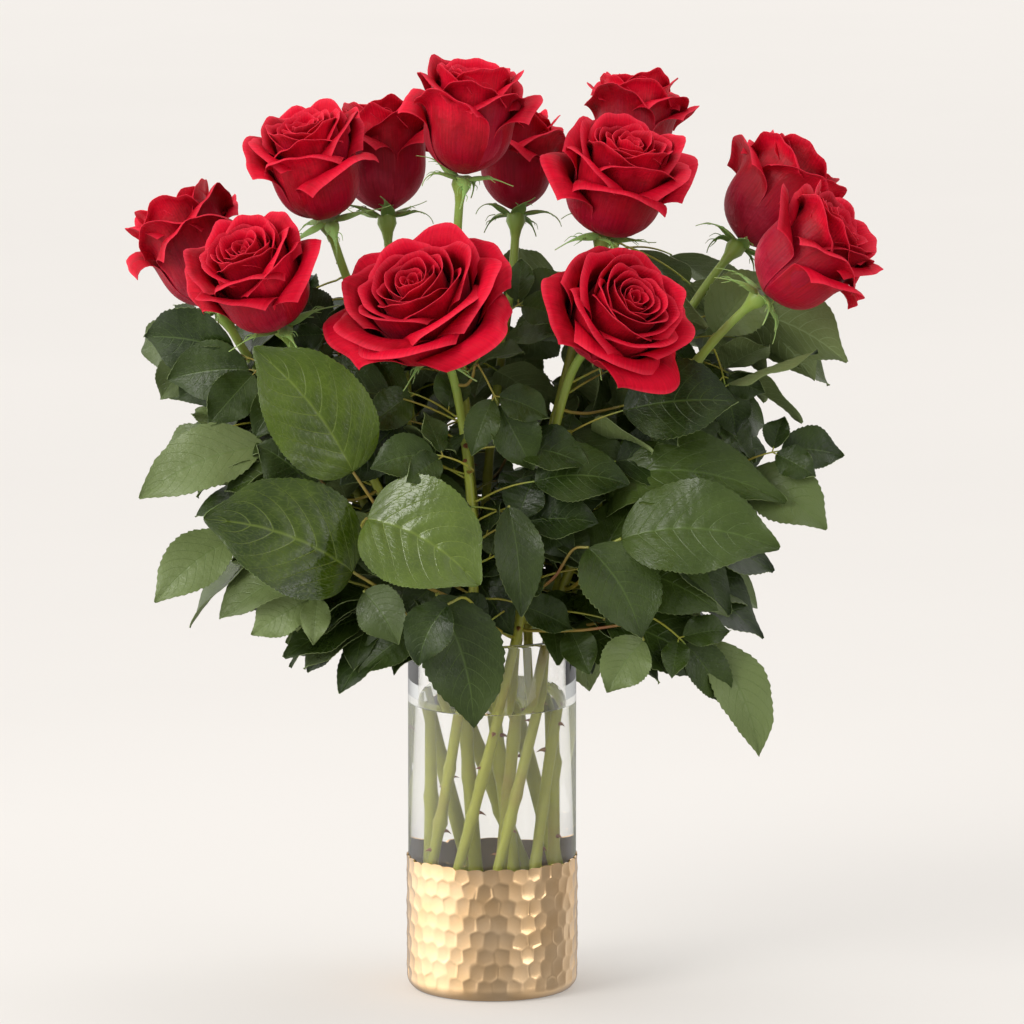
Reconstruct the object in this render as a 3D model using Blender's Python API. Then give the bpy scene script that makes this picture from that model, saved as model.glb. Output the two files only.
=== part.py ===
# A dozen red roses and their foliage in a straight glass vase with a gilded foot.
# Metres, +Z up. The origin is the middle of the face that the vase stands on, and the front is -Y.
# Each rose is a stem that ends in its hip and five sepals, with the bloom seated on it. Each leaf
# is a folded blade on its own petiole, which starts beside the stem that it grew from.

import itertools
import math

import bmesh
import bpy
from mathutils import Matrix, Quaternion, Vector
from mathutils.bvhtree import BVHTree

MM = 0.001

# Vase
VASE_RADIUS = 49.4 * MM
VASE_HEIGHT = 212 * MM
VASE_WALL = 4 * MM
VASE_FLOOR = 14 * MM
FOOT_FILLET = 8 * MM
BOWL_FILLET = 6 * MM
VASE_SIDES = 40

# Gilded sleeve round the lower part of the glass
SLEEVE_HEIGHT = 80 * MM
SLEEVE_THICKNESS = 0.7 * MM
SLEEVE_FOOT_ANGLE = 58  # degrees of the foot's rounding that it follows

WATER_LEVEL = 170 * MM

# Roses
HEAD_DIAMETER = 76 * MM  # of an ordinary bloom; the whole bouquet spreads in proportion
STEM_RADIUS = 2.8 * MM
STEM_SIDES = 10
STEM_TWIST = 80  # degrees that each stem turns round the vase between its foot and the mouth
STEM_FOOT_RISE = 3 * MM  # above the glass floor
STEM_RING_GAP = 9 * MM  # from the inner wall to the axis of an outer stem
INNER_RING_SHARE = 0.42  # of the outer ring's radius
WAIST_SHARE = 0.97  # how far out a stem is halfway down the vase, against a straight line
LEAVING_PULL = 0.9  # how long a stem keeps its direction past the mouth, in free lengths
ARRIVING_PULL = 0.6  # and below its hip
STEM_STEPS = 7  # points up the free part of a stem
HIP_RADIUS = 6 * MM
HIP_LENGTH = 14 * MM
SEAT_RADIUS = 5.6 * MM
NECK = (0.6, 0.78)  # where the hip starts to swell: share of its length down, share of its radius
SHOULDER_DEPTH = 0.25  # where the hip reaches its full radius, as a share of its length
RIM_SHARE = 1.08  # of the hip's radius, where the sepals start
SEPAL_LENGTH = 25 * MM
SEPAL_THICKNESS = 1 * MM
SEPAL_BEND = (0.55, 0.14)  # its widest place, as shares of its length: out, and down
SEPAL_DROP = 0.5  # of its tip, as a share of its length
SEPAL_WIDTH = 0.09  # half of it, as a share of its length
# Share of the radius and share of the height up the side of a bloom, and of its sunken middle.
BLOOM_OUTLINE = ((0.42, 0.07), (0.78, 0.28), (0.93, 0.55), (1.0, 0.8), (0.84, 0.95), (0.42, 1.0))
BLOOM_MIDDLE = 0.96
BLOOM_SIDES = 15
PETAL_LOBES = 5
LOBE_SHARE = 0.05

# Leaves
LEAF_THICKNESS = 0.8 * MM
LEAF_FOLD = 0.22  # rise of the edges over the midrib, as a share of the half width
PETIOLE_THICKNESS = 1.7 * MM
PETIOLE_START = 4 * MM  # how far it runs straight out of the stem
PETIOLE_SHARES = (0, 0.33, 0.66)  # of its curve, where its sections are

GAP = 0.3 * MM  # between pieces that touch
WATER_GAP = 0.4 * MM  # between the water and a stem
KEEP_CLEAR = 0.5 * MM  # between a leaf or a stem and whatever it passes

BOUQUET_UNIT = HEAD_DIAMETER / 76  # what one step of the lists below measures
INNER_RADIUS = VASE_RADIUS - VASE_WALL
OUTER_RING = INNER_RADIUS - STEM_RING_GAP
MOUTH = Vector((0, 0, VASE_HEIGHT))

# Where each bloom sits (from the middle of the mouth), where it faces, its radius and height,
# the ring of stems that it belongs to and its place round that ring in degrees.
ROSES = (
    ((-159, 25, 189), (-0.42, 0.25, 0.87), 37, 70, "outer", 168),
    ((-123, -25, 187), (-0.36, -0.45, 0.82), 38, 62, "outer", 205),
    ((-96, 8, 244), (-0.24, -0.25, 0.94), 37, 62, "inner", 185),
    ((-62, 50, 241), (-0.05, 0.22, 0.97), 34, 64, "outer", 130),
    ((-30, -40, 176), (-0.32, -0.50, 0.80), 53, 56, "outer", 250),
    ((-17, 0, 270), (0.12, -0.05, 0.99), 36, 64, "inner", 105),
    ((14, 60, 241), (0.02, 0.22, 0.97), 32, 58, "outer", 92),
    ((66, 10, 235), (0.26, -0.30, 0.91), 40, 64, "inner", 350),
    ((80, 72, 264), (0.10, 0.25, 0.96), 31, 56, "outer", 55),
    ((59, -38, 177), (0.48, -0.62, 0.62), 44, 54, "outer", 292),
    ((146, 36, 226), (0.62, 0.30, 0.72), 36, 64, "outer", 18),
    ((158, -25, 204), (0.74, -0.15, 0.66), 37, 66, "outer", 335),
)

# Half width along a blade, from its base to its tip: (share of the length, share of the width).
OUTLINES = {
    "broad": ((0.0, 0.06), (0.14, 0.72), (0.38, 1.0), (0.64, 0.84), (0.86, 0.42)),
    "single": ((0.0, 0.06), (0.16, 0.55), (0.42, 1.0), (0.68, 0.8), (0.88, 0.38)),
    "spray": ((0.0, 0.06), (0.1, 0.8), (0.3, 1.0), (0.48, 0.66), (0.7, 0.66), (0.88, 0.4)),
}

# Each leaf: its kind, the rose that it grows on, how far up the free stem, where its blade starts
# and where it ends (from the middle of the mouth), its width, where its face looks, and its arch.
LEAVES = (
    ("broad", 2, 0.30, (-80, -58, 104), (-137, -66, 178), 58, (0.1, -1, 0.2), 5),
    ("broad", 2, 0.12, (-80, -62, 46), (-166, -76, 80), 66, (0.15, -1, 0.45), 6),
    ("broad", 5, 0.15, (-72, -76, 80), (-7, -99, 45), 64, (-0.1, -1, 0.5), 6),
    ("single", 2, 0.45, (-104, -40, 92), (-136, -44, 118), 36, (0.1, -1, 0.3), 2),
    ("single", 1, 0.30, (-132, -22, 114), (-205, -30, 84), 38, (-0.1, -0.9, 0.6), 5),
    ("spray", 1, 0.45, (-134, 4, 126), (-198, 4, 118), 56, (0, -0.7, 0.8), 4),
    ("single", 1, 0.12, (-150, -22, 60), (-196, -38, 24), 32, (0, -0.9, 0.5), 3),
    ("spray", 2, 0.02, (-84, -44, 38), (-138, -60, 18), 40, (0, -0.9, 0.5), 3),
    ("single", 5, 0.02, (-74, -58, 34), (-54, -76, 6), 28, (-0.2, -1, 0.2), 3),
    ("single", 5, 0.08, (-32, -70, 34), (-10, -76, -43), 46, (0.1, -1, 0.15), 5),
    ("single", 10, 0.02, (-26, -86, 28), (-42, -88, -8), 28, (-0.3, -1, 0.1), 3),
    ("spray", 5, 0.55, (-14, -60, 108), (-62, -80, 132), 44, (0, -0.9, 0.6), 4),
    ("single", 10, 0.22, (10, -58, 84), (17, -74, 22), 27, (0.2, -1, 0.1), 4),
    ("single", 10, 0.18, (56, -58, 60), (87, -78, 10), 46, (0.3, -1, 0.5), 4),
    ("broad", 12, 0.14, (76, -58, 62), (167, -76, 56), 56, (0.1, -0.95, 0.6), 7),
    ("broad", 12, 0.34, (82, -36, 100), (167, -54, 84), 48, (0.1, -0.85, 0.6), 6),
    ("spray", 12, 0.52, (146, -26, 104), (200, -32, 126), 38, (-0.3, -1, 0.5), 4),
    ("single", 11, 0.30, (146, -20, 94), (194, -44, 68), 38, (0.1, -0.9, 0.6), 4),
    ("spray", 12, 0.04, (94, -46, 16), (140, -56, -16), 48, (0.2, -0.9, 0.4), 3),
    ("single", 11, 0.06, (124, -34, 0), (156, -44, -66), 32, (0.4, -0.9, 0.2), 6),
    ("single", 10, 0.05, (88, -62, 6), (67, -72, -23), 28, (0, -1, 0.2), 2),
    ("spray", 10, 0.72, (74, -18, 136), (124, -34, 148), 46, (0.1, -0.9, 0.5), 3),
    ("single", 12, 0.80, (130, 4, 176), (161, 16, 208), 36, (0.1, -1, 0.1), 3),
    ("spray", 12, 0.66, (128, -12, 170), (146, -14, 124), 40, (0.3, -1, 0.1), 4),
    ("spray", 6, 0.62, (4, 0, 184), (42, -8, 218), 44, (-0.3, -0.9, 0.3), 4),
    ("spray", 5, 0.86, (-8, -40, 164), (22, -58, 112), 44, (0.2, -1, 0.2), 4),
    ("spray", 3, 0.62, (-88, -10, 164), (-112, -14, 212), 40, (0, -1, 0.1), 3),
    ("spray", 1, 0.40, (-96, 48, 100), (-168, 66, 148), 76, (-0.2, 0.9, 0.5), 6),
    ("broad", 4, 0.30, (-54, 70, 92), (-92, 100, 162), 60, (-0.1, 1, 0.4), 6),
    ("spray", 4, 0.12, (-40, 72, 50), (-118, 92, 14), 76, (-0.2, 1, 0.5), 6),
    ("spray", 7, 0.35, (10, 80, 108), (-12, 100, 182), 74, (0, 1, 0.3), 6),
    ("broad", 9, 0.26, (52, 74, 88), (112, 96, 150), 60, (0.2, 1, 0.4), 6),
    ("spray", 7, 0.08, (24, 72, 40), (66, 92, -34), 70, (0.1, 1, 0.3), 6),
)


def arc(middle, radius, start, end, steps):
    """Points round an arc in the XZ plane, between two angles in degrees."""
    turns = (math.radians(start + (end - start) * i / steps) for i in range(steps + 1))
    return [(middle[0] + radius * math.cos(a), middle[1] + radius * math.sin(a)) for a in turns]


def material(name, colour, roughness, metallic=0.0, transmission=0.0):
    finish = bpy.data.materials.new(name)
    finish.use_nodes = True
    shader = finish.node_tree.nodes["Principled BSDF"]
    shader.inputs["Base Color"].default_value = (*colour, 1)
    shader.inputs["Roughness"].default_value = roughness
    shader.inputs["Metallic"].default_value = metallic
    shader.inputs["Transmission Weight"].default_value = transmission
    finish.diffuse_color = (*colour, 1)
    return finish


def add_object(name, mesh, finish, parent, smooth_angle=40):
    mesh.materials.append(finish)
    mesh.shade_smooth()
    mesh.set_sharp_from_angle(angle=math.radians(smooth_angle))
    made = bpy.data.objects.new(name, mesh)
    bpy.context.scene.collection.objects.link(made)
    made.parent = parent
    return made


def mesh_of(name, points, faces):
    """A mesh with its faces pointing out."""
    mesh = bpy.data.meshes.new(name)
    mesh.from_pydata(points, [], faces)
    shape = bmesh.new()
    shape.from_mesh(mesh)
    bmesh.ops.recalc_face_normals(shape, faces=shape.faces)
    shape.to_mesh(mesh)
    shape.free()
    return mesh


def turned(name, profile, sides, closed=False):
    """A profile of (radius, height) points spun round Z, whose ends are on the axis or meet."""
    shape = bmesh.new()
    points = [shape.verts.new((radius, 0, height)) for radius, height in profile]
    pairs = list(zip(points, points[1:])) + ([(points[-1], points[0])] if closed else [])
    edges = [shape.edges.new(pair) for pair in pairs]
    bmesh.ops.spin(
        shape, geom=points + edges, cent=(0, 0, 0), axis=(0, 0, 1), angle=math.tau, steps=sides
    )
    bmesh.ops.remove_doubles(shape, verts=shape.verts, dist=1e-6)
    bmesh.ops.recalc_face_normals(shape, faces=shape.faces)
    mesh = bpy.data.meshes.new(name)
    shape.to_mesh(mesh)
    shape.free()
    return mesh


def bowl_profile(gap, top):
    """The inside of the glass, or what fills it with this gap, from its wall down to the axis."""
    radius = INNER_RADIUS - gap
    floor = VASE_FLOOR + gap
    corner = BOWL_FILLET - gap
    rounding = arc((radius - corner, floor + corner), corner, 0, -90, 3)
    return [(radius, top)] + rounding + [(0, floor)]


def vase_mesh():
    lip = VASE_WALL / 2
    foot = arc((VASE_RADIUS - FOOT_FILLET, FOOT_FILLET), FOOT_FILLET, -90, 0, 4)
    rim = arc((VASE_RADIUS - lip, VASE_HEIGHT - lip), lip, 0, 180, 4)
    return turned("glass_vase", [(0, 0)] + foot + rim[:-1] + bowl_profile(0, rim[-1][1]), VASE_SIDES)


def sleeve_mesh():
    middle = (VASE_RADIUS - FOOT_FILLET, FOOT_FILLET)
    inside = FOOT_FILLET + GAP
    outside = inside + SLEEVE_THICKNESS
    outer_line = arc(middle, outside, -SLEEVE_FOOT_ANGLE, 0, 3)
    inner_line = arc(middle, inside, 0, -SLEEVE_FOOT_ANGLE, 3)
    top = [(outer_line[-1][0], SLEEVE_HEIGHT), (inner_line[0][0], SLEEVE_HEIGHT)]
    return turned("gilded_sleeve", outer_line + top + inner_line, VASE_SIDES, closed=True)


def bloom_profile(radius, height):
    sides = [(radius * across, height * up) for across, up in BLOOM_OUTLINE]
    return [(0, 0), (SEAT_RADIUS, 0)] + sides + [(0, height * BLOOM_MIDDLE)]


def bloom_mesh(name, radius, height):
    """An open rose as one solid, with the outer petals as shallow lobes round its widest part."""
    mesh = turned(name, bloom_profile(radius, height), BLOOM_SIDES)
    for vertex in mesh.vertices:
        if vertex.co.z > height / 2:
            angle = math.atan2(vertex.co.y, vertex.co.x)
            swell = 1 + LOBE_SHARE * math.cos(PETAL_LOBES * angle)
            vertex.co.x *= swell
            vertex.co.y *= swell
    return mesh


def hermite(start, start_pull, end, end_pull, share):
    """A point on the smooth curve from start to end that leaves and arrives along the pulls."""
    s = share
    return (
        start * (2 * s**3 - 3 * s**2 + 1)
        + start_pull * (s**3 - 2 * s**2 + s)
        + end * (3 * s**2 - 2 * s**3)
        + end_pull * (s**3 - s**2)
    )


def from_mouth(offset):
    return MOUTH + Vector(offset) * BOUQUET_UNIT


def on_ring(ring, degrees, height):
    radius = OUTER_RING * (1 if ring == "outer" else INNER_RING_SHARE)
    angle = math.radians(degrees)
    return Vector((radius * math.cos(angle), radius * math.sin(angle), height))


def stem_path(rose, bow):
    """Points up the middle of a stem: three in the vase, then the free run to the hip."""
    seat, facing, _, _, ring, degrees = rose
    axis = Vector(facing).normalized()
    foot = on_ring(ring, degrees - STEM_TWIST, VASE_FLOOR + STEM_FOOT_RISE)
    mouth = on_ring(ring, degrees, VASE_HEIGHT)
    waist = foot.lerp(mouth, 0.5)
    waist.xy *= WAIST_SHARE
    hip = from_mouth(seat) - axis * HIP_LENGTH
    reach = (hip - mouth).length
    leaving = (mouth - foot).normalized() * reach * LEAVING_PULL
    arriving = axis * reach * ARRIVING_PULL
    free = []
    for i in range(1, STEM_STEPS + 1):
        share = i / STEM_STEPS
        side = math.sin(math.pi * share) ** 2
        point = hermite(mouth, leaving, hip, arriving, share)
        free.append(point + Vector((bow[0], bow[1], 0)) * side)
    return [foot, waist, mouth] + free


def frames_along(points):
    """Two unit vectors across each point of a path, carried along it without twisting."""
    tangents = []
    for i in range(len(points)):
        before = points[max(i - 1, 0)]
        after = points[min(i + 1, len(points) - 1)]
        tangents.append((after - before).normalized())
    across = tangents[0].orthogonal().normalized()
    frames = []
    for i, tangent in enumerate(tangents):
        if i:
            across = tangents[i - 1].rotation_difference(tangent) @ across
        across = (across - tangent * across.dot(tangent)).normalized()
        frames.append((across, tangent.cross(across)))
    return frames


def ring_round(middle, frame, radius):
    turns = (math.tau * k / STEM_SIDES for k in range(STEM_SIDES))
    return [middle + (frame[0] * math.cos(a) + frame[1] * math.sin(a)) * radius for a in turns]


def joined_rings(first, second):
    """Quads between two rings, given by the index of each one's first point."""
    following = [(k + 1) % STEM_SIDES for k in range(STEM_SIDES)]
    return [(first + k, first + n, second + n, second + k) for k, n in enumerate(following)]


def tube(points, radius):
    frames = frames_along(points)
    verts = [v for point, frame in zip(points, frames) for v in ring_round(point, frame, radius)]
    starts = range(0, len(verts) - STEM_SIDES, STEM_SIDES)
    faces = [face for start in starts for face in joined_rings(start, start + STEM_SIDES)]
    last = len(verts) - STEM_SIDES
    faces.append(tuple(reversed(range(STEM_SIDES))))
    faces.append(tuple(range(last, len(verts))))
    return verts, faces


def stem_shape(rose, bow, turn, radius):
    """A stem with its swollen hip and five sepals that bend back from the rim of the hip."""
    axis = Vector(rose[1]).normalized()
    seat = from_mouth(rose[0])
    points = stem_path(rose, bow)
    verts, faces = tube(points, radius)
    faces.pop()
    frame = frames_along(points)[-1]
    frame = [Quaternion(axis, turn) @ (v - axis * v.dot(axis)).normalized() for v in frame]
    swelling = (
        (HIP_LENGTH * NECK[0], HIP_RADIUS * NECK[1] * radius / STEM_RADIUS),
        (HIP_LENGTH * SHOULDER_DEPTH, HIP_RADIUS),
        (GAP + SEPAL_THICKNESS, HIP_RADIUS * RIM_SHARE),
        (GAP, HIP_RADIUS * RIM_SHARE),
    )
    for depth, width in swelling:
        start = len(verts)
        verts += ring_round(seat - axis * depth, frame, width)
        faces += joined_rings(start - STEM_SIDES, start)
    upper = len(verts) - STEM_SIDES
    lower = upper - STEM_SIDES
    faces.append(tuple(range(upper, upper + STEM_SIDES)))
    for k in range(0, STEM_SIDES, 2):
        faces.remove((lower + k, lower + k + 1, upper + k + 1, upper + k))
        middle = (verts[upper + k] + verts[upper + k + 1]) / 2 - seat
        out = (middle - axis * middle.dot(axis)).normalized()
        along = axis.cross(out)
        blade = seat + (out * SEPAL_BEND[0] - axis * SEPAL_BEND[1]) * SEPAL_LENGTH
        tip = seat + (out - axis * SEPAL_DROP) * SEPAL_LENGTH
        width = along * SEPAL_WIDTH * SEPAL_LENGTH
        thick = axis * SEPAL_THICKNESS / 2
        base = [lower + k, lower + k + 1, upper + k + 1, upper + k]
        start = len(verts)
        verts += [blade - width - thick, blade + width - thick]
        verts += [blade + width + thick, blade - width + thick, tip]
        section = list(range(start, start + 4))
        for i in range(4):
            n = (i + 1) % 4
            faces.append((base[i], base[n], section[n], section[i]))
            faces.append((section[i], section[n], start + 4))
    return verts, faces


def leaf_path(leaf, stem, swing, tilt):
    """Points along a petiole and its blade, and the length of the petiole among them."""
    _, rose, height, base, tip, _, _, arch = leaf
    free = stem[2:]
    place = height * (len(free) - 1)
    i = min(int(place), len(free) - 2)
    root = free[i].lerp(free[i + 1], place - i)
    tangent = (free[i + 1] - free[i]).normalized()
    turn = Quaternion((0, 0, 1), math.radians(swing))
    towards = turn @ (from_mouth(base) - root)
    side = Quaternion(towards.cross(Vector((0, 0, 1))).normalized(), math.radians(tilt))
    base = root + side @ towards
    tip = root + side @ (turn @ (from_mouth(tip) - root))
    out = (base - root) - tangent * (base - root).dot(tangent)
    out.normalize()
    start = root + out * (STEM_RADIUS + KEEP_CLEAR)
    bend = start + out * PETIOLE_START
    heading = (tip - base).normalized()
    reach = (base - bend).length
    petiole = [start] + [
        hermite(bend, out * reach, base, heading * reach, share) for share in PETIOLE_SHARES
    ]
    across = heading.cross(Vector((0, 0, 1))).normalized()
    rise = across.cross(heading).normalized() * arch * MM
    shares = [share for share, _ in OUTLINES[leaf[0]]] + [1.0]
    blade = [base.lerp(tip, s) + rise * math.sin(math.pi * s) for s in shares]
    return petiole, blade


def leaf_shape(leaf, stem, swing, tilt, extra):
    """A leaf as one thin solid: sections of three points above and three below, then the tip."""
    kind, width, face = leaf[0], leaf[5] * BOUQUET_UNIT / 2, Vector(leaf[6])
    petiole, blade = leaf_path(leaf, stem, swing, tilt)
    path = petiole + blade
    halves = [PETIOLE_THICKNESS / 2] * len(petiole) + [w * width for _, w in OUTLINES[kind]]
    thicks = [PETIOLE_THICKNESS] * len(petiole) + [LEAF_THICKNESS] * len(OUTLINES[kind])
    verts = []
    for i, (half, thick) in enumerate(zip(halves, thicks)):
        tangent = (path[i + 1] - path[max(i - 1, 0)]).normalized()
        if not i:
            tangent = (path[1] - path[0]).normalized()
        across = tangent.cross(face).normalized()
        up = across.cross(tangent)
        half = max(half, PETIOLE_THICKNESS / 2) + extra
        above = up * (thick / 2 + extra)
        edge = up * (half * LEAF_FOLD if i > len(petiole) else 0)
        top = [path[i] - across * half + edge, path[i], path[i] + across * half + edge]
        verts += [point + above for point in top]
        verts += [point - above for point in reversed(top)]
    faces = [(5, 4, 3, 2, 1, 0)]
    for start in range(0, len(verts) - 6, 6):
        for k in range(6):
            n = (k + 1) % 6
            faces.append((start + k, start + n, start + 6 + n, start + 6 + k))
    last = len(verts) - 6
    verts += [path[-1] + above, path[-1] - above]
    top_tip, low_tip = last + 6, last + 7
    faces += [(last, last + 1, top_tip), (last + 1, last + 2, top_tip)]
    faces += [(last + 3, last + 4, low_tip), (last + 4, last + 5, low_tip)]
    faces += [(last + 2, last + 3, low_tip, top_tip), (last + 5, last, top_tip, low_tip)]
    return verts, faces


def tree_of(verts, faces):
    return BVHTree.FromPolygons(verts, faces)


def first_clear(name, tries, placed):
    """The first of these shapes that touches nothing placed so far."""
    for settings, shape in tries:
        tree = tree_of(*shape)
        if not any(tree.overlap(other) for other in placed):
            return settings
    raise ValueError(f"{name} finds no place that is clear of the others")


# How far a stem may bow and a leaf may swing aside, the smallest moves first.
BOWS = sorted(
    itertools.product((0, -4, 4, -8, 8, -13, 13, -18, 18), repeat=2), key=lambda p: math.hypot(*p)
)
SWINGS = sorted(
    itertools.product((0, -3, 3, -6, 6, -10, 10, -15, 15, -21, 21), repeat=2),
    key=lambda p: math.hypot(*p),
)
SEPAL_TURNS = (0, 0.3, -0.3)


def build():
    for old in list(bpy.data.objects):
        bpy.data.objects.remove(old, do_unlink=True)

    glass = material("clear_glass", (0.9, 0.93, 0.92), 0.03, transmission=1.0)
    gilt = material("hammered_gilt", (0.83, 0.62, 0.36), 0.28, metallic=1.0)
    water = material("still_water", (0.85, 0.92, 0.88), 0.02, transmission=1.0)
    petal = material("crimson_petal", (0.62, 0.01, 0.03), 0.55)
    green = material("stem_green", (0.30, 0.42, 0.12), 0.45)
    gloss = material("broad_leaf_green", (0.08, 0.20, 0.05), 0.32)
    matt = material("rose_leaf_green", (0.10, 0.22, 0.07), 0.5)

    bouquet = bpy.data.objects.new("roses_in_vase", None)
    bpy.context.scene.collection.objects.link(bouquet)

    vase = add_object("glass_vase", vase_mesh(), glass, bouquet)
    sleeve = add_object("gilded_sleeve", sleeve_mesh(), gilt, bouquet)
    placed = []
    for holder in (vase, sleeve):
        corners = [v.co for v in holder.data.vertices]
        placed.append(tree_of(corners, [tuple(f.vertices) for f in holder.data.polygons]))

    blooms = []
    for number, rose in enumerate(ROSES, 1):
        seat, facing, radius, height = rose[:4]
        name = f"rose_bloom_{number:02d}"
        mesh = bloom_mesh(name, radius * BOUQUET_UNIT, height * BOUQUET_UNIT)
        bloom = add_object(name, mesh, petal, bouquet)
        turn = Vector(facing).normalized().to_track_quat("Z", "Y")
        bloom.location = from_mouth(seat)
        bloom.rotation_euler = turn.to_euler()
        place = Matrix.Translation(bloom.location) @ turn.to_matrix().to_4x4()
        corners = [place @ v.co for v in mesh.vertices]
        blooms.append(tree_of(corners, [tuple(f.vertices) for f in mesh.polygons]))

    cutters = bpy.data.collections.new("water_cutters")
    bpy.context.scene.collection.children.link(cutters)
    stems = []
    for number, rose in enumerate(ROSES, 1):
        others = [bloom for n, bloom in enumerate(blooms, 1) if n != number]
        tries = (
            ((bow, turn), stem_shape(rose, Vector(bow) * MM, turn, STEM_RADIUS + KEEP_CLEAR))
            for bow in BOWS
            for turn in SEPAL_TURNS
        )
        name = f"rose_stem_{number:02d}"
        bow, turn = first_clear(name, tries, placed + others)
        bow = Vector(bow) * MM
        verts, faces = stem_shape(rose, bow, turn, STEM_RADIUS)
        add_object(name, mesh_of(name, verts, faces), green, bouquet)
        placed.append(tree_of(verts, faces))
        path = stem_path(rose, bow)
        stems.append(path)
        below = path[0] - (path[1] - path[0]).normalized() * WATER_GAP
        verts, faces = tube([below] + path[1:4], STEM_RADIUS + WATER_GAP)
        cutter = bpy.data.objects.new(f"cutter_{number:02d}", mesh_of("cutter", verts, faces))
        cutter.hide_render = True
        cutter.display_type = "WIRE"
        cutters.objects.link(cutter)
    placed += blooms

    body = turned("water", [(0, WATER_LEVEL)] + bowl_profile(GAP, WATER_LEVEL), VASE_SIDES)
    filling = add_object("water", body, water, bouquet)
    cut = filling.modifiers.new("stems", "BOOLEAN")
    cut.operation = "DIFFERENCE"
    cut.solver = "EXACT"
    cut.operand_type = "COLLECTION"
    cut.collection = cutters

    counts = {"broad": itertools.count(1), "single": itertools.count(1), "spray": itertools.count(1)}
    names = {"broad": "broad_leaf", "single": "rose_leaflet", "spray": "rose_leaf"}
    for leaf in LEAVES:
        kind = leaf[0]
        stem = stems[leaf[1] - 1]
        name = f"{names[kind]}_{next(counts[kind]):02d}"
        tries = ((swing, leaf_shape(leaf, stem, *swing, KEEP_CLEAR)) for swing in SWINGS)
        swing = first_clear(name, tries, placed)
        verts, faces = leaf_shape(leaf, stem, *swing, 0)
        add_object(name, mesh_of(name, verts, faces), gloss if kind == "broad" else matt, bouquet)
        placed.append(tree_of(verts, faces))


build()
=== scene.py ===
import math
import random

import bmesh
import bpy
import numpy as np
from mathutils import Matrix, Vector
from mathutils.bvhtree import BVHTree


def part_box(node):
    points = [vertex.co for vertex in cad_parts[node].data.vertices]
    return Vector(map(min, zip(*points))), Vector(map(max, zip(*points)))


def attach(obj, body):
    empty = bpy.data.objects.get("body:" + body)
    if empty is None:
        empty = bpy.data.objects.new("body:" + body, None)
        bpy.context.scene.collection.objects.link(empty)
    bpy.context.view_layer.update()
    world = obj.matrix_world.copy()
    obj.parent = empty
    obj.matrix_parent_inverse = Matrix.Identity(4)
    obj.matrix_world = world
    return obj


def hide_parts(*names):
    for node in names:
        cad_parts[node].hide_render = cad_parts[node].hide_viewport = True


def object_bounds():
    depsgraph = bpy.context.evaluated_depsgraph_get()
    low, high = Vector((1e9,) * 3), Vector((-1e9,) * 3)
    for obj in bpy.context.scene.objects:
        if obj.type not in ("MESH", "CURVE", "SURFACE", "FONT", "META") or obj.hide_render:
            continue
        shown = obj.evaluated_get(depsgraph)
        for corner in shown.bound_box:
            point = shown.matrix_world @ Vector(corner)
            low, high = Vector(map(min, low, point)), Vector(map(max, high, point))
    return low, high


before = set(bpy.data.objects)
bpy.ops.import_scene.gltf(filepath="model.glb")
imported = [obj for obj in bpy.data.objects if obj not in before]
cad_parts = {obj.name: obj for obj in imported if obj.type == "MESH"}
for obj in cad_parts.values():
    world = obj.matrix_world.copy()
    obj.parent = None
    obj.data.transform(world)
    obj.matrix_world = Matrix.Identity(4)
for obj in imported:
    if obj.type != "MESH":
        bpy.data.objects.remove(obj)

mm = 0.001
cadLow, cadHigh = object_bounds()


def unit(v):
    v = np.asarray(v, float)
    return v / max(np.linalg.norm(v), 1e-12)


def turnAbout(v, axis, angle):  # v turned about a unit axis, in radians
    v, axis = np.asarray(v, float), unit(axis)
    turned = v * math.cos(angle) + np.cross(axis, v) * math.sin(angle)
    return turned + axis * axis.dot(v) * (1 - math.cos(angle))


def smoothStep(x, low, high):
    t = np.clip((np.asarray(x, float) - low) / (high - low), 0, 1)
    return t * t * (3 - 2 * t)


def smoothLine(points, count):  # a Catmull-Rom line through the points, in equal steps of length
    points = np.asarray(points, float)
    padded = np.vstack([2 * points[0] - points[1], points, 2 * points[-1] - points[-2]])
    fine = []
    for i in range(1, len(padded) - 2):
        a, b, c, d = padded[i - 1:i + 3]
        t = np.linspace(0, 1, 12, endpoint=False)[:, None]
        fine.append(0.5 * (2 * b + (c - a) * t + (2 * a - 5 * b + 4 * c - d) * t**2
                           + (3 * b - a - 3 * c + d) * t**3))
    fine = np.vstack(fine + [points[-1:]])
    gone = np.r_[0, np.cumsum(np.linalg.norm(np.diff(fine, axis=0), axis=1))]
    steps = np.linspace(0, gone[-1], count)
    return np.stack([np.interp(steps, gone, fine[:, k]) for k in range(3)], axis=1)


def framesAlong(line):  # two unit vectors across each point, carried along without twisting
    tangents = np.gradient(line, axis=0)
    tangents /= np.linalg.norm(tangents, axis=1)[:, None]
    across = unit(np.cross(tangents[0], [0.31, 0.17, 0.93]))
    sides = []
    for t in tangents:
        across = unit(across - t * t.dot(across))
        sides.append(across)
    sides = np.array(sides)
    return tangents, sides, np.cross(tangents, sides)


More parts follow.
